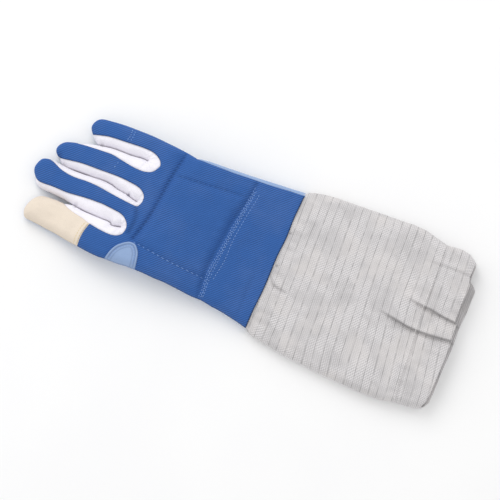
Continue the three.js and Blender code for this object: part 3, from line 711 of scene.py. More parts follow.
def leather_group():
    """Fine pebbled grain, pores and slow shading of soft leather."""
    group, start, place = new_group("leather_grain", Scale=900)
    cells = group.nodes.new("ShaderNodeTexVoronoi")
    cells.feature = "DISTANCE_TO_EDGE"
    group.links.new(place, cells.inputs["Vector"])
    group.links.new(start["Scale"], cells.inputs["Scale"])
    pebble = between(group, cells.outputs["Distance"], 0, 0.25)
    fine = maths(group, "MULTIPLY", noise(group, place, 420, 4, 0.6), 0.35)
    creases = between(group, noise(group, place, 95, 3, 0.55), 0.3, 0.7)
    height = maths(group, "ADD", maths(group, "MULTIPLY", pebble, 0.35), fine)
    height = maths(group, "ADD", height, maths(group, "MULTIPLY", creases, 0.5))
    return put_out(group, Height=height, Pores=pebble, Fade=noise(group, place, 34, 4, 0.6))


def stretched(tree, place, x, y):
    """A place with its first two coordinates scaled."""
    node = tree.nodes.new("ShaderNodeVectorMath")
    node.operation = "MULTIPLY"
    node.inputs[1].default_value = (x, y, 1)
    tree.links.new(place, node.inputs[0])
    return node.outputs[0]


def waves(tree, turns):
    """A soft wave from 0 to 1, once for each turn."""
    wave = maths(tree, "SINE", maths(tree, "MULTIPLY", turns, 2 * math.pi))
    return maths(tree, "MULTIPLY_ADD", wave, 0.5, 0.5)


def cuff_group():
    """Ribbed cuff cloth. Its place is the cloth's own: round the cuff and along it."""
    group, start, place = new_group("cuff_weave", Line_Pitch=0.0075, Rib_Pitch=0.0011)
    around, along, _ = coordinates(group, place)
    wavy = maths(group, "MULTIPLY_ADD", noise(group, place, 18, 2), 0.0036, along)
    turns = maths(group, "DIVIDE", wavy, start["Line Pitch"])
    near_line = maths(group, "ABSOLUTE", maths(group, "SUBTRACT", maths(group, "FRACT", turns), 0.5))
    line = between(group, near_line, 0.02, 0.1, 1, 0)
    broken = between(group, noise(group, stretched(group, place, 150, 900), 1, 3), 0.38, 0.62, 0.2, 1)
    line = maths(group, "MULTIPLY", line, broken)
    rib_turns = maths(group, "DIVIDE", wavy, start["Rib Pitch"])
    round_turns = maths(group, "DIVIDE", around, start["Rib Pitch"])
    rib = waves(group, rib_turns)
    bead = maths(group, "MULTIPLY", round_turns, 1.1)
    bead = waves(group, maths(group, "MULTIPLY_ADD", rib_turns, 0.5, bead))
    slant = maths(group, "MULTIPLY", rib_turns, 0.64)
    slant = waves(group, maths(group, "MULTIPLY_ADD", round_turns, 0.6, slant))
    patches = between(group, noise(group, place, 55, 3), 0.4, 0.6, 0.25, 1)
    weave = maths(group, "MULTIPLY", rib, maths(group, "MULTIPLY_ADD", bead, 0.6, 0.4))
    weave = maths(group, "MULTIPLY", weave, 0.5)
    weave = maths(group, "MULTIPLY_ADD", maths(group, "MULTIPLY", slant, patches), 0.5, weave)
    fade = noise(group, stretched(group, place, 20, 90), 1, 4, 0.65)
    return put_out(group, Height=weave, Line=line, Fade=fade, Warm=noise(group, place, 30, 3, 0.6))


def once(kept, name, maker, *values):
    """The material or node group of that name, made at its first use."""
    return kept.get(name) or maker(*values)


def mixed(tree, factor, a, b):
    """A colour between two, by a factor that changes over the surface."""
    node = tree.nodes.new("ShaderNodeMix")
    node.data_type = "RGBA"
    sockets = [s for s in node.inputs if s.enabled]
    for socket, value in zip(sockets, (factor, a, b)):
        if isinstance(value, bpy.types.NodeSocket):
            tree.links.new(value, socket)
        else:
            socket.default_value = (*value, 1)
    return [s for s in node.outputs if s.enabled][0]


def linear(colour):
    """A display colour as the shader wants it."""
    return tuple(c / 12.92 if c <= 0.04045 else ((c + 0.055) / 1.055) ** 2.4 for c in colour)


def darker(colour, share):
    return tuple(c * share for c in colour)


def new_material(name, roughness, sheen, colour):
    """A material with a plain sheen, its shader and the places of its surface."""
    material = bpy.data.materials.new(name)
    material.use_nodes = True
    tree = material.node_tree
    shader = tree.nodes["Principled BSDF"]
    for label, value in (
        ("Roughness", roughness), ("Sheen Weight", sheen), ("Sheen Roughness", 0.45),
        ("Sheen Tint", (*colour, 1)), ("Specular IOR Level", 0.3),
    ):
        shader.inputs[label].default_value = value
    return material, tree, shader, tree.nodes.new("ShaderNodeTexCoord").outputs


def use_group(tree, name, maker, place, **values):
    """Puts a shader group into a material, with the material's own values."""
    node = tree.nodes.new("ShaderNodeGroup")
    node.node_tree = once(bpy.data.node_groups, name, maker)
    tree.links.new(place, node.inputs["Place"])
    for label, value in values.items():
        node.inputs[label.replace("_", " ")].default_value = value
    return node.outputs


def bumped(tree, shader, height, strength, distance):
    node = tree.nodes.new("ShaderNodeBump")
    node.inputs["Strength"].default_value = strength
    node.inputs["Distance"].default_value = distance
    tree.links.new(height, node.inputs["Height"])
    tree.links.new(node.outputs["Normal"], shader.inputs["Normal"])


def edge_shade(tree, colour, shade):
    """The colour, darkened towards a colour of painted shade where the piece's painted shade attribute
    says so.
    """
    attribute = tree.nodes.new("ShaderNodeAttribute")
    attribute.attribute_name = PAINTED_SHADE_ATTRIBUTE
    return mixed(tree, attribute.outputs["Fac"], colour, shade)


def twill_material():
    base = linear(colours().twill)
    material, tree, shader, place = new_material("blue_twill", 0.86, 0.25, base)
    out = use_group(tree, "twill_weave", twill_group, place["Object"], Pitch=sizes().twill_pitch)
    shown = between(tree, out["Fade"], 0.32, 0.58, 0.35, 1)
    lined = mixed(tree, between(tree, out["Height"], 0.08, 0.85), darker(base, 0.64), darker(base, 1.24))
    colour = mixed(tree, shown, darker(base, 0.94), lined)
    faded = tuple(min(1, c * 0.9 + 0.05) for c in base)
    colour = mixed(tree, between(tree, out["Fade"], 0.42, 0.72, 0, 0.2), colour, faded)
    # Painted shade, where the shade attribute says: at the twill's edge, along its seams and creases, and
    # beneath it
    colour = edge_shade(tree, colour, darker(base, 0.3))
    tree.links.new(colour, shader.inputs["Base Color"])
    tree.links.new(between(tree, out["Fade"], 0.3, 0.8, 0.92, 0.76), shader.inputs["Roughness"])
    bumped(tree, shader, out["Height"], 0.6, 0.00035)
    return material


def leather_material(kind, roughness, grain, painted_shade_tint):
    base = linear(getattr(colours(), kind))
    material, tree, shader, place = new_material(kind + "_skin", roughness, 0.12, base)
    out = use_group(tree, "leather_grain", leather_group, place["Object"], Scale=grain)
    shade = mixed(tree, between(tree, out["Fade"], 0.35, 0.7, 0, 1), darker(base, 0.93), base)
    shade = mixed(tree, between(tree, out["Pores"], 0, 0.6, 0.35, 0), shade, darker(base, 0.8))
    # Painted shade from the shade attribute, in the leather's own darker tint
    shade = edge_shade(tree, shade, tuple(a * b for a, b in zip(base, painted_shade_tint)))
    tree.links.new(shade, shader.inputs["Base Color"])
    tree.links.new(between(tree, out["Fade"], 0.3, 0.75, roughness + 0.08, roughness - 0.08),
                   shader.inputs["Roughness"])
    bumped(tree, shader, out["Height"], 0.35, 0.0003)
    return material


def cuff_material():
    base = linear(colours().cuff)
    material, tree, shader, place = new_material("ribbed_cuff", 0.7, 0.2, base)
    out = use_group(tree, "cuff_weave", cuff_group, place["UV"],
                    Line_Pitch=sizes().cuff_line_pitch, Rib_Pitch=sizes().cuff_rib_pitch)
    colour = mixed(tree, between(tree, out["Height"], 0.05, 0.8), darker(base, 0.66), darker(base, 1.09))
    colour = mixed(tree, between(tree, out["Fade"], 0.38, 0.62, 0, 0.38), colour, darker(base, 0.86))
    warm = tuple(a * b for a, b in zip(base, (0.97, 0.95, 0.92)))
    colour = mixed(tree, between(tree, out["Warm"], 0.45, 0.65, 0, 0.45), colour, warm)
    colour = mixed(tree, maths(tree, "MULTIPLY", out["Line"], 0.62), colour, darker(base, 0.33))
    # Painted shade, where the shade attribute says: by the hem, in the seam crease, the puckers and the
    # pleats
    colour = edge_shade(tree, colour, darker(base, 0.36))
    tree.links.new(colour, shader.inputs["Base Color"])
    tree.links.new(between(tree, out["Height"], 0, 1, 0.78, 0.6), shader.inputs["Roughness"])
    bumped(tree, shader, out["Height"], 0.7, 0.0004)
    return material


def thread_material(name):
    base = linear(getattr(colours(), name))
    material, tree, shader, place = new_material(name, 0.5, 0.1, base)
    plies = noise(tree, place["Object"], 2600, 2)
    tree.links.new(mixed(tree, between(tree, plies, 0.35, 0.65), darker(base, 0.75), base),
                   shader.inputs["Base Color"])
    bumped(tree, shader, plies, 0.3, 0.0001)
    return material


# Roughness, cells of the grain in a metre, and the tint of the painted shade in creases, slits and at
# edges
LEATHERS = {
    "white_leather": (0.6, 950, (0.36, 0.34, 0.38)),
    "pale_leather": (0.55, 820, (0.5, 0.52, 0.6)),
    "cream_leather": (0.72, 1100, (0.62, 0.56, 0.46)),
}


def leather(kind):
    return once(bpy.data.materials, kind + "_skin", leather_material, kind, *LEATHERS[kind])


# Stitches, set along lines by Geometry Nodes. Their lengths are uneven within these shares.

UNEVEN = {"Min": 0.7, "Max": 1.15, "Seed": 7}


def stitch_tree(material):
    """Puts a long grain of thread at even steps along lines, turned to either side by the slant."""
    tree = bpy.data.node_groups.new("stitches_" + material.name, "GeometryNodeTree")
    face = tree.interface
    face.new_socket("Geometry", in_out="INPUT", socket_type="NodeSocketGeometry")
    for label in ("Pitch", "Stitch", "Thread", "Slant"):
        socket = face.new_socket(label, in_out="INPUT", socket_type="NodeSocketFloat")
        socket.subtype = "ANGLE" if label == "Slant" else "DISTANCE"
    face.new_socket("Geometry", in_out="OUTPUT", socket_type="NodeSocketGeometry")
    start = tree.nodes.new("NodeGroupInput")
    end = tree.nodes.new("NodeGroupOutput")
    to_points = tree.nodes.new("GeometryNodeCurveToPoints")
    to_points.mode = "LENGTH"
    grain = tree.nodes.new("GeometryNodeMeshIcoSphere")
    grain.inputs["Subdivisions"].default_value = 2
    grain.inputs["Radius"].default_value = 0.5
    size = tree.nodes.new("ShaderNodeCombineXYZ")
    place = tree.nodes.new("GeometryNodeInstanceOnPoints")
    real = tree.nodes.new("GeometryNodeRealizeInstances")
    finish = tree.nodes.new("GeometryNodeSetMaterial")
    smooth = tree.nodes.new("GeometryNodeSetShadeSmooth")
    finish.inputs["Material"].default_value = material
    link = tree.links.new
    link(start.outputs["Geometry"], to_points.inputs["Curve"])
    link(start.outputs["Pitch"], to_points.inputs["Length"])
    link(to_points.outputs["Points"], place.inputs["Points"])
    index = tree.nodes.new("GeometryNodeInputIndex")
    side = maths(tree, "MULTIPLY_ADD", maths(tree, "MODULO", index.outputs[0], 2), 2, -1)
    swing = tree.nodes.new("ShaderNodeCombineXYZ")
    rotate = tree.nodes.new("FunctionNodeRotateRotation")
    rotate.rotation_space = "GLOBAL"
    link(maths(tree, "MULTIPLY", side, start.outputs["Slant"]), swing.inputs["Z"])
    link(to_points.outputs["Rotation"], rotate.inputs["Rotation"])
    link(swing.outputs[0], rotate.inputs["Rotate By"])
    link(rotate.outputs[0], place.inputs["Rotation"])
    link(grain.outputs["Mesh"], place.inputs["Instance"])
    link(start.outputs["Thread"], size.inputs["X"])
    link(start.outputs["Thread"], size.inputs["Y"])
    uneven = tree.nodes.new("FunctionNodeRandomValue")
    for socket in uneven.inputs:
        if socket.enabled and socket.name in UNEVEN:
            socket.default_value = UNEVEN[socket.name]
    share = [s for s in uneven.outputs if s.enabled][0]
    link(maths(tree, "MULTIPLY", share, start.outputs["Stitch"]), size.inputs["Z"])
    link(size.outputs[0], place.inputs["Scale"])
    link(place.outputs["Instances"], real.inputs["Geometry"])
    link(real.outputs["Geometry"], smooth.inputs["Geometry"])
    link(smooth.outputs["Geometry"], finish.inputs["Geometry"])
    link(finish.outputs["Geometry"], end.inputs["Geometry"])
    return tree


def stitches(name, lines, material, pitch, length, thread, slant):
    """Rows of stitches along lines of points in millimetres, as one plain mesh."""
    curve = bpy.data.curves.new(name + "_lines", "CURVE")
    curve.dimensions = "3D"
    for line in lines:
        spline = curve.splines.new("POLY")
        spline.points.add(len(line) - 1)
        spline.points.foreach_set("co", np.column_stack([line * MM, np.ones(len(line))]).ravel())
    holder = put_in_scene(name + "_lines", curve)
    tree = once(bpy.data.node_groups, "stitches_" + material.name, stitch_tree, material)
    modifier = holder.modifiers.new("stitches", "NODES")
    modifier.node_group = tree
    wanted = {"Pitch": pitch, "Stitch": length, "Thread": thread, "Slant": slant}
    for item in tree.interface.items_tree:
        if item.in_out == "INPUT" and item.name in wanted:
            modifier[item.identifier] = wanted[item.name]
    bpy.context.view_layer.update()
    graph = bpy.context.evaluated_depsgraph_get()
    mesh = bpy.data.meshes.new_from_object(holder.evaluated_get(graph))
    mesh.name = name
    if not len(mesh.polygons):
        raise RuntimeError(name + " has no stitches")
    holder.modifiers.remove(modifier)
    bpy.data.objects.remove(holder)
    bpy.data.curves.remove(curve)
    if not mesh.materials:
        mesh.materials.append(material)
    return put_in_scene(name, mesh)


def puffed(edge):
    """How far the padded twill stands over the form at a distance in from its edge."""
    return sizes().puff / MM * rounded(edge, 1.5)


def on_back(points, lift):
    """A line on the twill: its points at the height of the cloth."""
    line = line_of(points, 0.8)
    height, side = form_height(line)
    return np.column_stack([line, height + puffed(side) + lift])


# Pieces. The drops are depths below the form.

BACK_UNDER = 0.15
LEATHER_DROP = 0.3
TUCKED_DROP = 0.32
TUCKED_MARGIN = 1.0
CAP_UNDER = 1.4
FOURCHETTE_WALL = 1.2


def build_back():
    outline = chained(*BACK_RING, CUFF_SEAM)
    plan, triangles = plan_mesh(outline, sizes().back_grid / MM)
    form, _ = form_height(plan)
    edge = distance_to(plan, outline, closed=True)
    gathers = 0.3 + 0.15 * np.sin((plan[:, 1] - SHIFT[1]) * KNUCKLE_GATHERS)
    # Painted shade at the twill's edge, then along its seams and creases: how dark each line is, how wide
    # its shade is and which lines have it
    shade = 0.7 * bell(edge, 0.35)
    for dark, width, *lines in (
        (0.75, 0.9, CUFF_SEAM), (0.2, 0.7, PAD_NEAR_SEAM, PAD_FAR_SEAM), (gathers, 1.0, KNUCKLE_CREASE),
        (0.3, 1.6, KNUCKLE_FOLD), (0.22, 1.2, WRIST_CREASE),
    ):
        shade += dark * bell(distance_to(plan, *[line_of(line) for line in lines]), width)
    twill = once(bpy.data.materials, "blue_twill", twill_material)
    piece = make_sheet("twill_back", plan, triangles, form + puffed(edge), form - BACK_UNDER, twill,
                       np.clip(shade, 0, 1))
    finish_piece(piece, "twill", "back_panel")


def build_fourchettes():
    # Each strip's sewn edge, where it ends in the outline, its slit and any second sewn edge
    strips = {
        "fourchette_middle_index": (
            INDEX_MIDDLE_EDGE, INDEX_MIDDLE_MOUTH, INDEX_MIDDLE_SLIT, CAP_INNER_EDGE,
        ),
        "fourchette_ring_middle": (MIDDLE_RING_EDGE, MIDDLE_RING_MOUTH, MIDDLE_RING_SLIT),
        "fourchette_little_ring": (RING_LITTLE_EDGE, RING_LITTLE_MOUTH, RING_LITTLE_SLIT),
    }
    hole = placed([SMALL_HOLE])
    hole = raised(hole, widest_at(hole[:, 0]))[0]
    for node, (side, mouth, slit, *more) in strips.items():
        seams = [line_of(part) for part in (side, *more)]
        outline = tucked(chained(side, (mouth, -1), *more), seams)
        slit_line = line_of(slit, 0.5)
        plan, triangles = plan_mesh(outline, sizes().leather_grid / MM, [slit_line])
        form, _ = form_height(plan)
        seam = distance_to(plan, *seams)
        away = plan - slit_line[-1]
        puckers = 0.28 * bell(np.hypot(*away.T) - 5, 4.5)
        puckers = puckers * np.sin(9 * np.arctan2(away[:, 1], away[:, 0]) + 1.3)
        along = 0.16 * ripples(plan * [1, 2.2], 16, 11)
        upper = form - LEATHER_DROP - 0.35 * bell(seam, 0.7) + puckers + along * np.clip(seam / 2, 0, 1)
        from_hole = np.hypot(*(plan - hole).T)
        upper -= 1.6 * bell(from_hole, 1.2)
        margin = (distance_to(plan, outline, closed=True) < 0.9) & (seam < 1.1)
        upper = np.where(margin, np.minimum(upper, form - TUCKED_DROP), upper)
        # Painted shade in the slit where the fingers touch, uneven along it, in the small hole and along
        # the sewn seams
        uneven_slit_shade = 0.6 + 0.3 * ripples(plan, 22, 12)
        shade = np.maximum(uneven_slit_shade * bell(distance_to(plan, slit_line), 0.4), bell(from_hole, 1.1))
        shade = np.maximum(0.22 * bell(seam, 0.3), shade)
        piece = make_sheet(node + "_leather", plan, triangles, upper, upper - FOURCHETTE_WALL,
                           leather("white_leather"), shade)
        finish_piece(piece, "white_leather", node)


def tucked(outline, seams):
    """The outline grown by a margin where it is sewn under another piece."""
    sewn = distance_to(outline, *seams) < 0.05
    return outline - inward(outline) * (TUCKED_MARGIN * sewn)[:, None]


CAP_ROWS = (1.1, 3.9)
PATCH_ROWS = (3.1,)
ROW_DEPTH = 0.3
WRIST_ZIGZAG = [
    (-16.7, 46), (-17.9, 34), (-19.1, 20), (-20.3, 6), (-20.9, -5), (-22.2, -20), (-22.9, -34),
    (-21.6, -47), (-21.2, -53),
]
ZIGZAG_SLANT = math.radians(48)
FINGER_TACKS = [
    [(-133.4, 45.2), (-132.6, 48.5), (-133, 53.2)],
    [(-130.6, 45.6), (-130.2, 49), (-130.4, 52.8)],
    [(-133.6, 18.8), (-132.6, 22.8)],
]


def cap_height(points):
    """Height of the cream leather, with a groove under each row of stitches."""
    form, _ = form_height(points)
    seam = distance_to(points, line_of(CAP_SEAM))
    side = distance_to(points, line_of(CAP_TIP), line_of(CAP_INNER_EDGE))
    crowned = 0.9 * rounded(np.minimum(side, seam + 0.4), 1.2) * eased(seam, 0.3, 1.4)
    rows = sum(ROW_DEPTH * bell(seam - inset, 0.6) for inset in CAP_ROWS)
    return form - LEATHER_DROP + crowned - rows + 0.2 * ripples(points, 13, 21) * eased(seam, 1, 6)


def patch_height(points):
    """Height of the leaf at the thumb, which lies on the puffed twill and has piping at its border."""
    form, side = form_height(points)
    border = distance_to(points, line_of(PATCH_EDGE))
    piping = 0.8 * bell(border - 1.1, 0.8)
    rows = sum(ROW_DEPTH * bell(border - inset, 0.5) for inset in PATCH_ROWS)
    return form + puffed(side) + 0.15 + 0.8 * rounded(border, 1.0) * rounded(side, 1) + piping - rows


def build_cap():
    seam = line_of(CAP_SEAM)
    outline = tucked(chained((CAP_SEAM, -1), CAP_TIP, CAP_INNER_EDGE), [seam])
    plan, triangles = plan_mesh(outline, sizes().leather_grid / MM)
    form, _ = form_height(plan)
    edge = distance_to(plan, outline, closed=True)
    under_back = inside_of(plan, chained(*BACK_RING, CUFF_SEAM)) & (distance_to(plan, seam) < 1.2)
    upper = np.where(under_back, form - TUCKED_DROP, cap_height(plan))
    # Painted shade along the cap's edge and under it
    piece = make_sheet("index_cap_leather", plan, triangles, upper, form - CAP_UNDER,
                       leather("cream_leather"), 0.3 * bell(edge, 0.4))
    finish_piece(piece, "cream_leather", "index_cap")


FINE_GRID = 0.7


def build_patch():
    edge_line = line_of(PATCH_EDGE)
    side_line = line_of(NEAR_EDGE)
    first, last = (np.hypot(*(side_line - edge_line[i]).T).argmin() for i in (-1, 0))
    outline = np.vstack([edge_line[1:-1], side_line[first:last + 1]])
    plan, triangles = plan_mesh(outline, FINE_GRID)
    form, _ = form_height(plan)
    border = distance_to(plan, edge_line)
    edge = distance_to(plan, outline, closed=True)
    # Painted shade along the patch's edge and under it, and two darker lines along its border
    shade = np.maximum(0.8 * bell(edge, 0.35), 0.95 * bell(border - 2.1, 0.45))
    shade = np.maximum(shade, 0.7 * bell(border - 4.6, 0.45))
    piece = make_sheet("thumb_patch_leather", plan, triangles, patch_height(plan), form + 0.1,
                       leather("pale_leather"), shade)
    finish_piece(piece, "pale_leather", "thumb_patch")


PALM_INSET = 0.2
PALM_WALL = 1.5
STRIP_WALL = 1.1


def build_palm():
    outline = chained(*OUTER_RING, [FAR_EDGE[-1], (SEAM_X, 0), NEAR_EDGE[0]])
    outline = outline + inward(outline) * PALM_INSET
    plan, triangles = plan_mesh(outline, sizes().palm_grid / MM)
    side = distance_to(plan, *SILHOUETTE, *SLITS)
    x = plan[:, 0]
    widest = widest_at(x)
    fall = (widest - low_at(x)) * flat_under(side)
    lower = widest - fall + 0.3 * (1 + ripples(plan, 18, 31)) * rounded(side, 4)
    lower = np.clip(lower, FLOOR_GAP, widest - 0.5)
    piece = make_sheet("palm_leather", plan, triangles, np.minimum(lower + PALM_WALL, widest - 0.2),
                       lower, leather("pale_leather"), np.zeros(len(plan)), beneath=0.0)
    finish_piece(piece, "pale_leather", "palm_panel")

    blue_edge = line_of(FAR_BLUE_EDGE)
    outline = chained(FAR_EDGE, [FAR_EDGE[-1], FAR_BLUE_EDGE[-1]], (FAR_BLUE_EDGE, -1))
    plan, triangles = plan_mesh(tucked(outline, [blue_edge]), FINE_GRID)
    form, _ = form_height(plan)
    edge = distance_to(plan, line_of(FAR_EDGE))
    upper = form - 0.35 + 0.3 * bell(edge - 0.7, 0.5)
    # Painted shade where the strip goes under the blue twill, and under the strip
    shade = 0.7 * bell(distance_to(plan, blue_edge), 0.35)
    strip = make_sheet("palm_strip_leather", plan, triangles, upper, upper - STRIP_WALL,
                       leather("pale_leather"), shade)
    finish_piece(strip, "pale_leather")


def closed_loft(rings):
    """A closed surface over rings of as many points each, with a fan at both ends."""
    rings = np.asarray(rings)
    rows, count, _ = rings.shape
    verts = np.vstack([rings.reshape(-1, 3), rings[0].mean(0), rings[-1].mean(0)])
    faces = []
    for i in range(rows - 1):
        for j in range(count):
            a, b = i * count + j, i * count + (j + 1) % count
            faces.append((a, b, b + count, a + count))
    last = (rows - 1) * count
    for j in range(count):
        faces.append((rows * count, (j + 1) % count, j))
        faces.append((rows * count + 1, last + j, last + (j + 1) % count))
    return verts, faces


# Shares of the thumb's width and height along it, from its root to its tip
THUMB_ALONG = [0, 0.03, 0.08, 0.16, 0.45, 0.7, 0.86, 0.94, 0.985, 1]
THUMB_WIDE = [0.55, 0.8, 0.95, 1, 0.94, 0.82, 0.7, 0.54, 0.32, 0.16]
THUMB_PLUMP = [0.35, 0.7, 0.94, 1, 1, 1, 0.95, 0.78, 0.5, 0.25]
THUMB_COLUMNS = 90
THUMB_POWER = 2 / 2.6


def build_thumb():
    low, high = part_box("thumb")
    low, high = np.array(low) / MM, np.array(high) / MM
    places = np.concatenate([np.linspace(0, 0.1, 10, False), np.linspace(0.1, 0.85, 50, False),
                             np.linspace(0.85, 1, 22)])
    angles = np.linspace(0, 2 * math.pi, THUMB_COLUMNS, endpoint=False)
    across, up = np.cos(angles), np.sin(angles)
    across = np.sign(across) * np.abs(across) ** THUMB_POWER
    up = np.sign(up) * np.abs(up) ** THUMB_POWER
    from_seam = np.minimum(np.abs(angles - math.pi), np.minimum(angles, 2 * math.pi - angles))
    middle, half, tall = (low[0] + high[0]) / 2, (high[0] - low[0]) / 2, high[2] - low[2]
    rings = []
    for place in places:
        wide = np.interp(place, THUMB_ALONG, THUMB_WIDE) * half
        plump = np.interp(place, THUMB_ALONG, THUMB_PLUMP)
        crease = 0.35 * bell(place - 0.5, 0.02) + 0.25 * bell(place - 0.56, 0.015)
        rings.append(np.column_stack([
            middle - across * np.maximum(wide - 0.4 + 0.5 * bell(from_seam, 0.09), 0.3),
            np.full(THUMB_COLUMNS, low[1] + place * (high[1] - low[1])),
            tall / 2 + up * (tall / 2 * plump - 0.15) * (1 - 0.12 * crease),
        ]))
    verts, faces = closed_loft(rings)
    piece = make_object("thumb_leather", verts, [f[::-1] for f in faces], leather("pale_leather"))
    shade_edges(piece, np.zeros(len(verts)))
    finish_piece(piece, "pale_leather", "thumb")


CUFF_ROWS = 174
CUFF_COLUMNS = 262
CUFF_TUCK = 1.6
CUFF_REACH = 165.5
CUFF_THICK_X = [0, 0.04, 0.1, 0.22, 0.37, 0.57, 0.69, 0.76, 0.84, 0.92, 0.97, 1]
CUFF_THICK = [14, 14.3, 14.6, 14.9, 15.2, 15.8, 16.25, 16.55, 17, 16.85, 16.7, 16.4]
NEAR_PLEAT = [
    (112, -1.6), (118, -2.8), (130, -4.5), (145, -6.5), (155, -6.7), (165, -6), (175, -4.5),
    (190, -2.2),
]
FAR_PLEAT = [(130, 17.3), (138, 16), (145, 15), (152, 14.4), (162, 13.8), (172, 12.8), (190, 12)]
FAR_FOLD = [(128, 52), (140, 52), (152, 53), (165, 54), (178, 54.4), (190, 54.4)]
SEAM_CREASE = [(24, -13), (27, -16.5), (30, -19.6), (35, -20.9), (42, -21.6)]
PUCKERS = [(25.3, 26.2), (26, -3.8)]

# How the cuff's lines lean: everywhere, and more towards the near side
STRIPE_LEAN = 0.055
NEAR_LEAN_FROM, NEAR_LEAN_SOFT = 15, 20
NEAR_LEAN_X = [24, 52, 94, 136, 190]
NEAR_LEAN = [0, 0, 0.055, 0.095, 0.095]


def pleat(x, y, line, depth, grows):
    """A pleat: its far side laps over a valley that opens slowly towards the near side."""
    smooth = smooth_line(line, 1)
    off = y - np.interp(x, smooth[:, 0], smooth[:, 1])
    shown = eased(x, line[0][0], line[0][0] + grows)
    valley = np.where(off < 0, np.exp(-np.abs(off) / 4.2), bell(off, 0.8))
    return shown * depth * (0.42 * bell(off - 2.4, 2.2) - valley)


def past_the_hem(x, y):
    """How far a place on the cuff lies past the line of the hem, towards the mouth."""
    return x - np.interp(y, *zip(*HEM_SEAM))


def cuff_relief(x, y):
    """Folds, puckers and softness of the cuff's upper layer, in drawn coordinates."""
    points = np.column_stack([x, y])
    past_hem = past_the_hem(x, y)
    gathered = eased(past_hem, -24, 4)
    crease = distance_to(points, smooth_line(SEAM_CREASE, 1))
    relief = pleat(x, y, NEAR_PLEAT, 3.9, 26) + pleat(x, y, FAR_PLEAT, 3.3, 22)
    relief += pleat(x, y, FAR_FOLD, 1.1, 26)
    relief += 0.6 * bell(past_hem + 0.9, 0.9) - 0.6 * bell(past_hem - 1, 1)
    relief += 0.45 * bell(past_hem - 4, 2.4)
    relief += gathered * (0.4 * ripples(points * [0.25, 1], 8, 41) + 0.35 * ripples(points, 15, 42))
    relief += 0.55 * eased(x, SEAM_X + 30, SEAM_X + 3) * ripples(points * [0.3, 1], 9, 43)
    for at_x, at_y in PUCKERS:
        relief -= 2.4 * bell(np.hypot((x - at_x) / 1.4, y - at_y), 1.3)
        relief += 0.6 * bell(np.hypot((x - at_x - 3) / 2, y - at_y + 3), 2)
    relief -= 1.7 * bell(crease, 1.3) * eased(x, 48, 36)
    relief += 0.8 * bell(crease - 3.6, 2.6) * eased(x, 50, 34)
    return relief + 0.55 * ripples(points * [1, 0.8], 36, 44) + 0.25 * ripples(points, 13, 45)


def cuff_height(x, y, upper, plan):
    """Height of the cuff's cloth at drawn places, on its upper or its lower layer. The plan is where
    they come on the solids."""
    far = np.interp(x, *zip(*CUFF_FAR_EDGE))
    near = np.interp(x, *zip(*CUFF_NEAR_EDGE))
    thick = np.interp((x - SEAM_X) / CUFF_REACH, CUFF_THICK_X, CUFF_THICK)
    widest = thick * WIDEST_SHARE
    side = np.maximum(np.minimum(far - y, y - near), 0)
    share = sides(side)
    soft = away_from(side)
    top = widest + (thick - widest) * share + cuff_relief(x, y) * soft
    points = np.column_stack([x, y])
    past_hem = past_the_hem(x, y)
    low = widest * (1 - flat_under(side)) + 0.25 * soft
    low = low + (0.3 * (1 + ripples(points, 30, 46)) + 0.5 * bell(past_hem, 1.1)) * soft
    sewn = x < SEAM_X + 8
    if sewn.any():
        form, _ = form_height(plan[sewn])
        free = eased(x[sewn], SEAM_X + 0.2, SEAM_X + 6)
        lift = rounded(side[sewn], 3)
        top[sewn] = (form - 0.85 * lift) * (1 - free) + top[sewn] * free
        start = np.minimum(low[sewn] + 2.3 * lift, widest[sewn] - 0.05 * lift)
        low[sewn] = start * (1 - free) + low[sewn] * free
    return np.where(upper, top, low)


def on_cuff(x, y, upper):
    """Places on the cuff's cloth, in millimetres."""
    flat = placed(np.column_stack([x, y]))
    plan = flat
    for _ in range(2):
        height = cuff_height(x, y, upper, plan)
        plan = raised(flat, height)
    return np.column_stack([plan, height])


def cuff_section(share):
    """One ring of the cuff, from its far edge over the top to its near edge and back beneath."""
    u = np.cos(np.linspace(0, math.pi, 700))
    across = np.concatenate([u, u[::-1][1:-1]])
    upper = np.arange(len(across)) < len(u)
    start = SEAM_X - CUFF_TUCK
    x = np.full(len(across), start + share * CUFF_REACH)
    for _ in range(3):
        far = np.interp(x, *zip(*CUFF_FAR_EDGE))
        near = np.interp(x, *zip(*CUFF_NEAR_EDGE))
        y = (far + near) / 2 + (far - near) / 2 * across
        top_end = np.interp(y, *zip(*UPPER_END))
        low_end = np.interp(y, *zip(*LOWER_END))
        mix = eased(np.where(upper, 1.0, -1.0) * (1 - np.abs(across)), -0.03, 0.03)
        x = start + share * (low_end + (top_end - low_end) * mix - start)
    return on_cuff(x, y, upper)


def even_ring(ring, count):
    """The same closed ring with evenly spaced points."""
    closed = np.vstack([ring, ring[:1]])
    run = np.concatenate([[0], np.cumsum(np.linalg.norm(np.diff(closed, axis=0), axis=1))])
    wanted = np.linspace(0, run[-1], count, endpoint=False)
    return np.column_stack([np.interp(wanted, run, closed[:, k]) for k in range(3)])


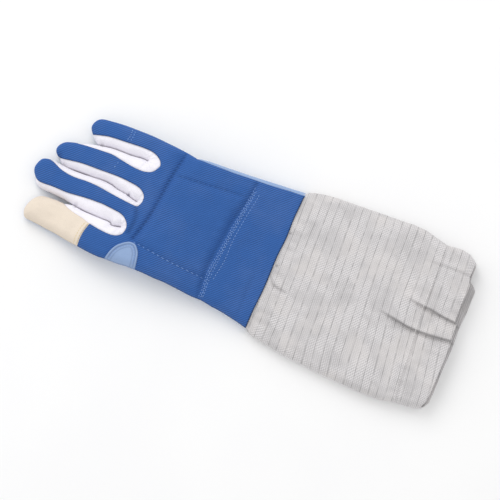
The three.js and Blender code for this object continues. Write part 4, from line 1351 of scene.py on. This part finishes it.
def build_cuff():
    outer = np.array([
        even_ring(cuff_section(i / (CUFF_ROWS - 1)), CUFF_COLUMNS) for i in range(CUFF_ROWS)
    ])
    along = np.gradient(outer, axis=0)
    round_it = (np.roll(outer, -1, axis=1) - np.roll(outer, 1, axis=1)) / 2
    # The wall grows square to the cuff's length, so that its open end stays even
    normal = unit(np.cross(round_it, along) * [0, 1, 1])
    if ((outer - outer.mean(1, keepdims=True)) * normal).sum() < 0:
        normal = -normal
    inner = outer - normal * (sizes().cuff_wall / MM)
    rows, columns, _ = outer.shape
    verts = np.vstack([outer.reshape(-1, 3), inner.reshape(-1, 3)])
    verts[:, 2] = np.maximum(verts[:, 2], FLOOR_GAP)
    total = rows * columns
    faces = []
    for i in range(rows - 1):
        for j in range(columns):
            a, b = i * columns + j, i * columns + (j + 1) % columns
            faces.append((a, a + columns, b + columns, b))
            faces.append((total + a, total + b, total + b + columns, total + a + columns))
    last = (rows - 1) * columns
    for j in range(columns):
        k = (j + 1) % columns
        faces.append((j, k, total + k, total + j))
        faces.append((last + j, total + last + j, total + last + k, last + k))
    cloth = once(bpy.data.materials, "ribbed_cuff", cuff_material)
    piece = make_object("cuff_sleeve", verts, faces, cloth)
    if piece.data.polygons[0].normal.dot(Vector(normal[0, 0])) < 0:
        piece.data.flip_normals()
    drawn = verts[:, :2] - SHIFT
    near = NEAR_LEAN_FROM - drawn[:, 1]
    near = (near + np.hypot(near, NEAR_LEAN_SOFT)) / 2
    lean = np.interp(drawn[:, 0], NEAR_LEAN_X, NEAR_LEAN) * near - STRIPE_LEAN * drawn[:, 1]
    # The cloth's own places: even steps round the cuff, and along it with the lines' lean
    run = np.linalg.norm(np.diff(outer, axis=1, append=outer[:, :1]), axis=2).mean() * MM
    around = np.tile(np.tile(np.arange(columns) * run, rows), 2)
    corner = np.zeros(len(piece.data.loops), np.int32)
    piece.data.loops.foreach_get("vertex_index", corner)
    layer = piece.data.uv_layers.new(name="cloth")
    uv = np.column_stack([around, (drawn[:, 0] - lean) * MM])[corner]
    layer.data.foreach_set("uv", uv.ravel().astype(np.float32))
    # Painted shade in the groove beside the hem, along the crease by the seam, in the puckers and where
    # each pleat laps over
    shade = 0.22 * bell(past_the_hem(*drawn.T) - 1, 0.7)
    shade += 0.3 * bell(distance_to(drawn, smooth_line(SEAM_CREASE, 1)), 0.8)
    for at in PUCKERS:
        shade += 0.8 * bell(np.hypot(*(drawn - at).T), 1.1)
    for line in (NEAR_PLEAT, FAR_PLEAT):
        off = drawn[:, 1] - np.interp(drawn[:, 0], *zip(*line))
        shade += 0.7 * bell(off + 0.2, 0.6) * eased(drawn[:, 0], line[0][0] + 8, line[0][0] + 26)
    shade_edges(piece, np.clip(shade, 0, 1))
    finish_piece(piece, "cuff_cloth", "cuff")


def on_piece(line, height, lift):
    """A line of placed points, lifted from the height of the piece that it lies on."""
    return np.column_stack([line, height(line) + lift])


def offset_line(line, distance):
    """The line moved to its right-hand side."""
    tangent = unit(np.gradient(line, axis=0))
    return line + distance * np.stack([tangent[:, 1], -tangent[:, 0]], 1)


def build_stitches():
    threads = {
        name: once(bpy.data.materials, name, thread_material, name)
        for name in ("pale_thread", "blue_thread", "cream_thread", "white_thread")
    }
    cap = [
        on_piece((line_of(CAP_SEAM, 0.6) - [inset, 0])[3:-3], cap_height, 0.1) for inset in CAP_ROWS
    ]
    patch = [
        on_piece(offset_line(line_of(PATCH_EDGE, 0.6), inset)[7:-7], patch_height, 0.08)
        for inset in PATCH_ROWS
    ]
    hem = smooth_line(HEM_SEAM[1:-1], 0.8)[4:-4]
    hem = on_cuff(hem[:, 1] - 0.9, hem[:, 0], np.ones(len(hem), bool)) + [0, 0, 0.15]
    # Lines, thread and slot, then pitch, length of a stitch, share of the thread's thickness and slant
    rows = {
        "pad_near_stitches": ([on_back(PAD_NEAR_SEAM, 0.05)], "pale_thread", "twill", 0.0044, 0.003, 1, 0),
        "pad_far_stitches": ([on_back(PAD_FAR_SEAM, 0)], "blue_thread", "twill", 0.0044, 0.003, 1, 0),
        "wrist_stitches": (
            [on_back(row, 0.1) for row in WRIST_STITCHES], "pale_thread", "twill", 0.0028, 0.002, 1, 0,
        ),
        "wrist_zigzag": (
            [on_back(WRIST_ZIGZAG, 0.12)], "pale_thread", "twill", 0.0019, 0.0024, 1, ZIGZAG_SLANT,
        ),
        "finger_stitches": (
            [on_back(row, 0.1) for row in FINGER_TACKS], "pale_thread", "twill", 0.0021, 0.0014, 1.3, 0,
        ),
        "cap_stitches": (cap, "cream_thread", "cream_leather", 0.0024, 0.0018, 0.9, 0),
        "patch_stitches": (patch, "pale_thread", "pale_leather", 0.0022, 0.0016, 0.7, 0),
        "hem_stitches": ([hem], "white_thread", "cuff_cloth", 0.0024, 0.002, 1, 0),
    }
    for name, (lines, thread, slot, pitch, length, share, slant) in rows.items():
        thick = sizes().thread * share
        finish_piece(stitches(name, lines, threads[thread], pitch, length, thick, float(slant)), slot)


FLOOR_REACH = 4000
FLOOR_HEIGHT = -0.05
DAYLIGHT = 0.88
LAMP_PLACE = (-0.9, 0.9, 1.3)
LAMP_SIZE = 1.2
LAMP_POWER = 10


def build_floor():
    material, tree, shader, place = new_material("pale_floor", 0.9, 0.0, (1, 1, 1))
    fleck = noise(tree, place["Object"], 6, 3)
    tree.links.new(mixed(tree, between(tree, fleck, 0.3, 0.7), (0.93, 0.93, 0.935), (0.95, 0.95, 0.95)),
                   shader.inputs["Base Color"])
    corners = [
        (x * FLOOR_REACH, y * FLOOR_REACH, FLOOR_HEIGHT) for x, y in ((-1, -1), (1, -1), (1, 1), (-1, 1))
    ]
    make_object("floor", corners, [(0, 1, 2, 3)], material)


def build_light():
    world = bpy.data.worlds.new("studio")
    world.use_nodes = True
    background = world.node_tree.nodes["Background"]
    background.inputs["Color"].default_value = (1, 1, 1, 1)
    background.inputs["Strength"].default_value = DAYLIGHT
    bpy.context.scene.world = world
    bpy.context.scene.view_settings.view_transform = "Standard"
    light = bpy.data.lights.new("softbox", "AREA")
    light.shape = "RECTANGLE"
    light.size = light.size_y = LAMP_SIZE
    light.energy = LAMP_POWER
    lamp = put_in_scene("softbox", light)
    lamp.location = LAMP_PLACE
    lamp.rotation_euler = (-lamp.location).to_track_quat("-Z", "Y").to_euler()


def build_camera():
    camera = bpy.data.cameras.new("photo_angle")
    camera.lens = LENS
    camera.sensor_width = SENSOR
    camera.dof.use_dof = False
    holder = put_in_scene("photo_angle", camera)
    holder.location = EYE * MM
    holder.rotation_euler = Vector(TO_EYE).to_track_quat("Z", "Y").to_euler()
    bpy.context.scene.camera = holder


class GloveSizes(bpy.types.PropertyGroup):
    puff: FloatProperty(name="Padding", description="How far the padded twill stands over the leather",
                        default=0.0011, unit="LENGTH")
    back_grid: FloatProperty(name="Back grid", description="Mesh spacing of the twill back",
                             default=0.001, unit="LENGTH")
    leather_grid: FloatProperty(name="Leather grid", description="Mesh spacing of the finger leather",
                                default=0.0008, unit="LENGTH")
    palm_grid: FloatProperty(name="Palm grid", description="Mesh spacing of the palm",
                             default=0.0015, unit="LENGTH")
    twill_pitch: FloatProperty(name="Twill lines", description="Distance between the twill's lines",
                               default=0.00173, unit="LENGTH", precision=5)
    thread: FloatProperty(name="Thread", description="Thickness of the sewing thread",
                          default=0.00065, unit="LENGTH", precision=5)
    cuff_wall: FloatProperty(name="Cuff cloth", description="Thickness of the cuff's cloth",
                             default=0.001, unit="LENGTH")
    cuff_cut: FloatVectorProperty(name="Cuff cut", description="Round and along the cuff laid flat",
                                  size=2, default=(0.29, 0.165), unit="LENGTH", precision=4)
    cuff_line_pitch: FloatProperty(name="Cuff lines", description="Distance between the dark lines",
                                   default=0.0069, unit="LENGTH", precision=5)
    cuff_rib_pitch: FloatProperty(name="Cuff ribs", description="Distance between the fine ribs",
                                  default=0.0015, unit="LENGTH", precision=5)


def colour_property(name, default):
    return FloatVectorProperty(name=name, description=name + " as it shows on a screen", default=default,
                               subtype="COLOR_GAMMA", min=0, max=1)


class GloveColours(bpy.types.PropertyGroup):
    twill: colour_property("Blue twill", (0.207, 0.383, 0.655))
    white_leather: colour_property("White leather", (0.97, 0.96, 0.99))
    pale_leather: colour_property("Pale blue leather", (0.585, 0.685, 0.84))
    cream_leather: colour_property("Cream leather", (0.925, 0.872, 0.808))
    cuff: colour_property("Cuff cloth", (0.869, 0.858, 0.862))
    pale_thread: colour_property("Pale blue thread", (0.49, 0.64, 0.87))
    blue_thread: colour_property("Blue thread", (0.27, 0.45, 0.72))
    white_thread: colour_property("White thread", (0.96, 0.95, 0.95))
    cream_thread: colour_property("Cream thread", (0.93, 0.86, 0.66))


class GLOVE_OT_stage(bpy.types.Operator):
    """Camera, soft light and pale floor"""
    bl_idname = "glove.stage"
    bl_label = "Stage"

    def execute(self, context):
        build_camera()
        build_light()
        build_floor()
        return {"FINISHED"}


class GLOVE_OT_palm(bpy.types.Operator):
    """Palm leather under the hand and its strip beside the back"""
    bl_idname = "glove.palm"
    bl_label = "Palm"

    def execute(self, context):
        build_palm()
        return {"FINISHED"}


class GLOVE_OT_thumb(bpy.types.Operator):
    """Thumb folded under the palm"""
    bl_idname = "glove.thumb"
    bl_label = "Thumb"

    def execute(self, context):
        build_thumb()
        return {"FINISHED"}


class GLOVE_OT_fourchettes(bpy.types.Operator):
    """White leather sides between the fingers"""
    bl_idname = "glove.fourchettes"
    bl_label = "Finger sides"

    def execute(self, context):
        build_fourchettes()
        return {"FINISHED"}


class GLOVE_OT_cap(bpy.types.Operator):
    """Cream leather over the end of the index finger"""
    bl_idname = "glove.cap"
    bl_label = "Index cap"

    def execute(self, context):
        build_cap()
        return {"FINISHED"}


class GLOVE_OT_back(bpy.types.Operator):
    """Padded twill back of the hand and fingers"""
    bl_idname = "glove.back"
    bl_label = "Back"

    def execute(self, context):
        build_back()
        return {"FINISHED"}


class GLOVE_OT_patch(bpy.types.Operator):
    """Leaf of leather at the root of the thumb"""
    bl_idname = "glove.patch"
    bl_label = "Thumb patch"

    def execute(self, context):
        build_patch()
        return {"FINISHED"}


class GLOVE_OT_cuff(bpy.types.Operator):
    """Long ribbed cuff with its gathered end"""
    bl_idname = "glove.cuff"
    bl_label = "Cuff"

    def execute(self, context):
        build_cuff()
        return {"FINISHED"}


class GLOVE_OT_stitches(bpy.types.Operator):
    """Rows of stitches on the back, the leather and the hem"""
    bl_idname = "glove.stitches"
    bl_label = "Stitches"

    def execute(self, context):
        build_stitches()
        return {"FINISHED"}


OPERATORS = (
    GLOVE_OT_stage, GLOVE_OT_palm, GLOVE_OT_thumb, GLOVE_OT_fourchettes, GLOVE_OT_cap,
    GLOVE_OT_back, GLOVE_OT_patch, GLOVE_OT_cuff, GLOVE_OT_stitches,
)


class GLOVE_PT_panel(bpy.types.Panel):
    """Builds the glove piece by piece"""
    bl_label = "Fencing glove"
    bl_idname = "GLOVE_PT_panel"
    bl_space_type = "VIEW_3D"
    bl_region_type = "UI"
    bl_category = "Glove"

    def draw(self, context):
        for group in (context.scene.glove_sizes, context.scene.glove_colours):
            for name in group.__annotations__:
                self.layout.prop(group, name)
        for entry in OPERATORS:
            self.layout.operator(entry.bl_idname)


CLASSES = (GloveSizes, GloveColours, *OPERATORS, GLOVE_PT_panel)


def register():
    for entry in CLASSES:
        bpy.utils.register_class(entry)
    bpy.types.Scene.glove_sizes = PointerProperty(type=GloveSizes)
    bpy.types.Scene.glove_colours = PointerProperty(type=GloveColours)


def unregister():
    del bpy.types.Scene.glove_colours
    del bpy.types.Scene.glove_sizes
    for entry in reversed(CLASSES):
        bpy.utils.unregister_class(entry)


def main():
    register()
    for entry in OPERATORS:
        if getattr(bpy.ops.glove, entry.bl_idname.split(".")[1])() != {"FINISHED"}:
            raise RuntimeError(entry.bl_label + " did not finish")
    bpy.context.view_layer.update()


if __name__ == "__main__":
    main()
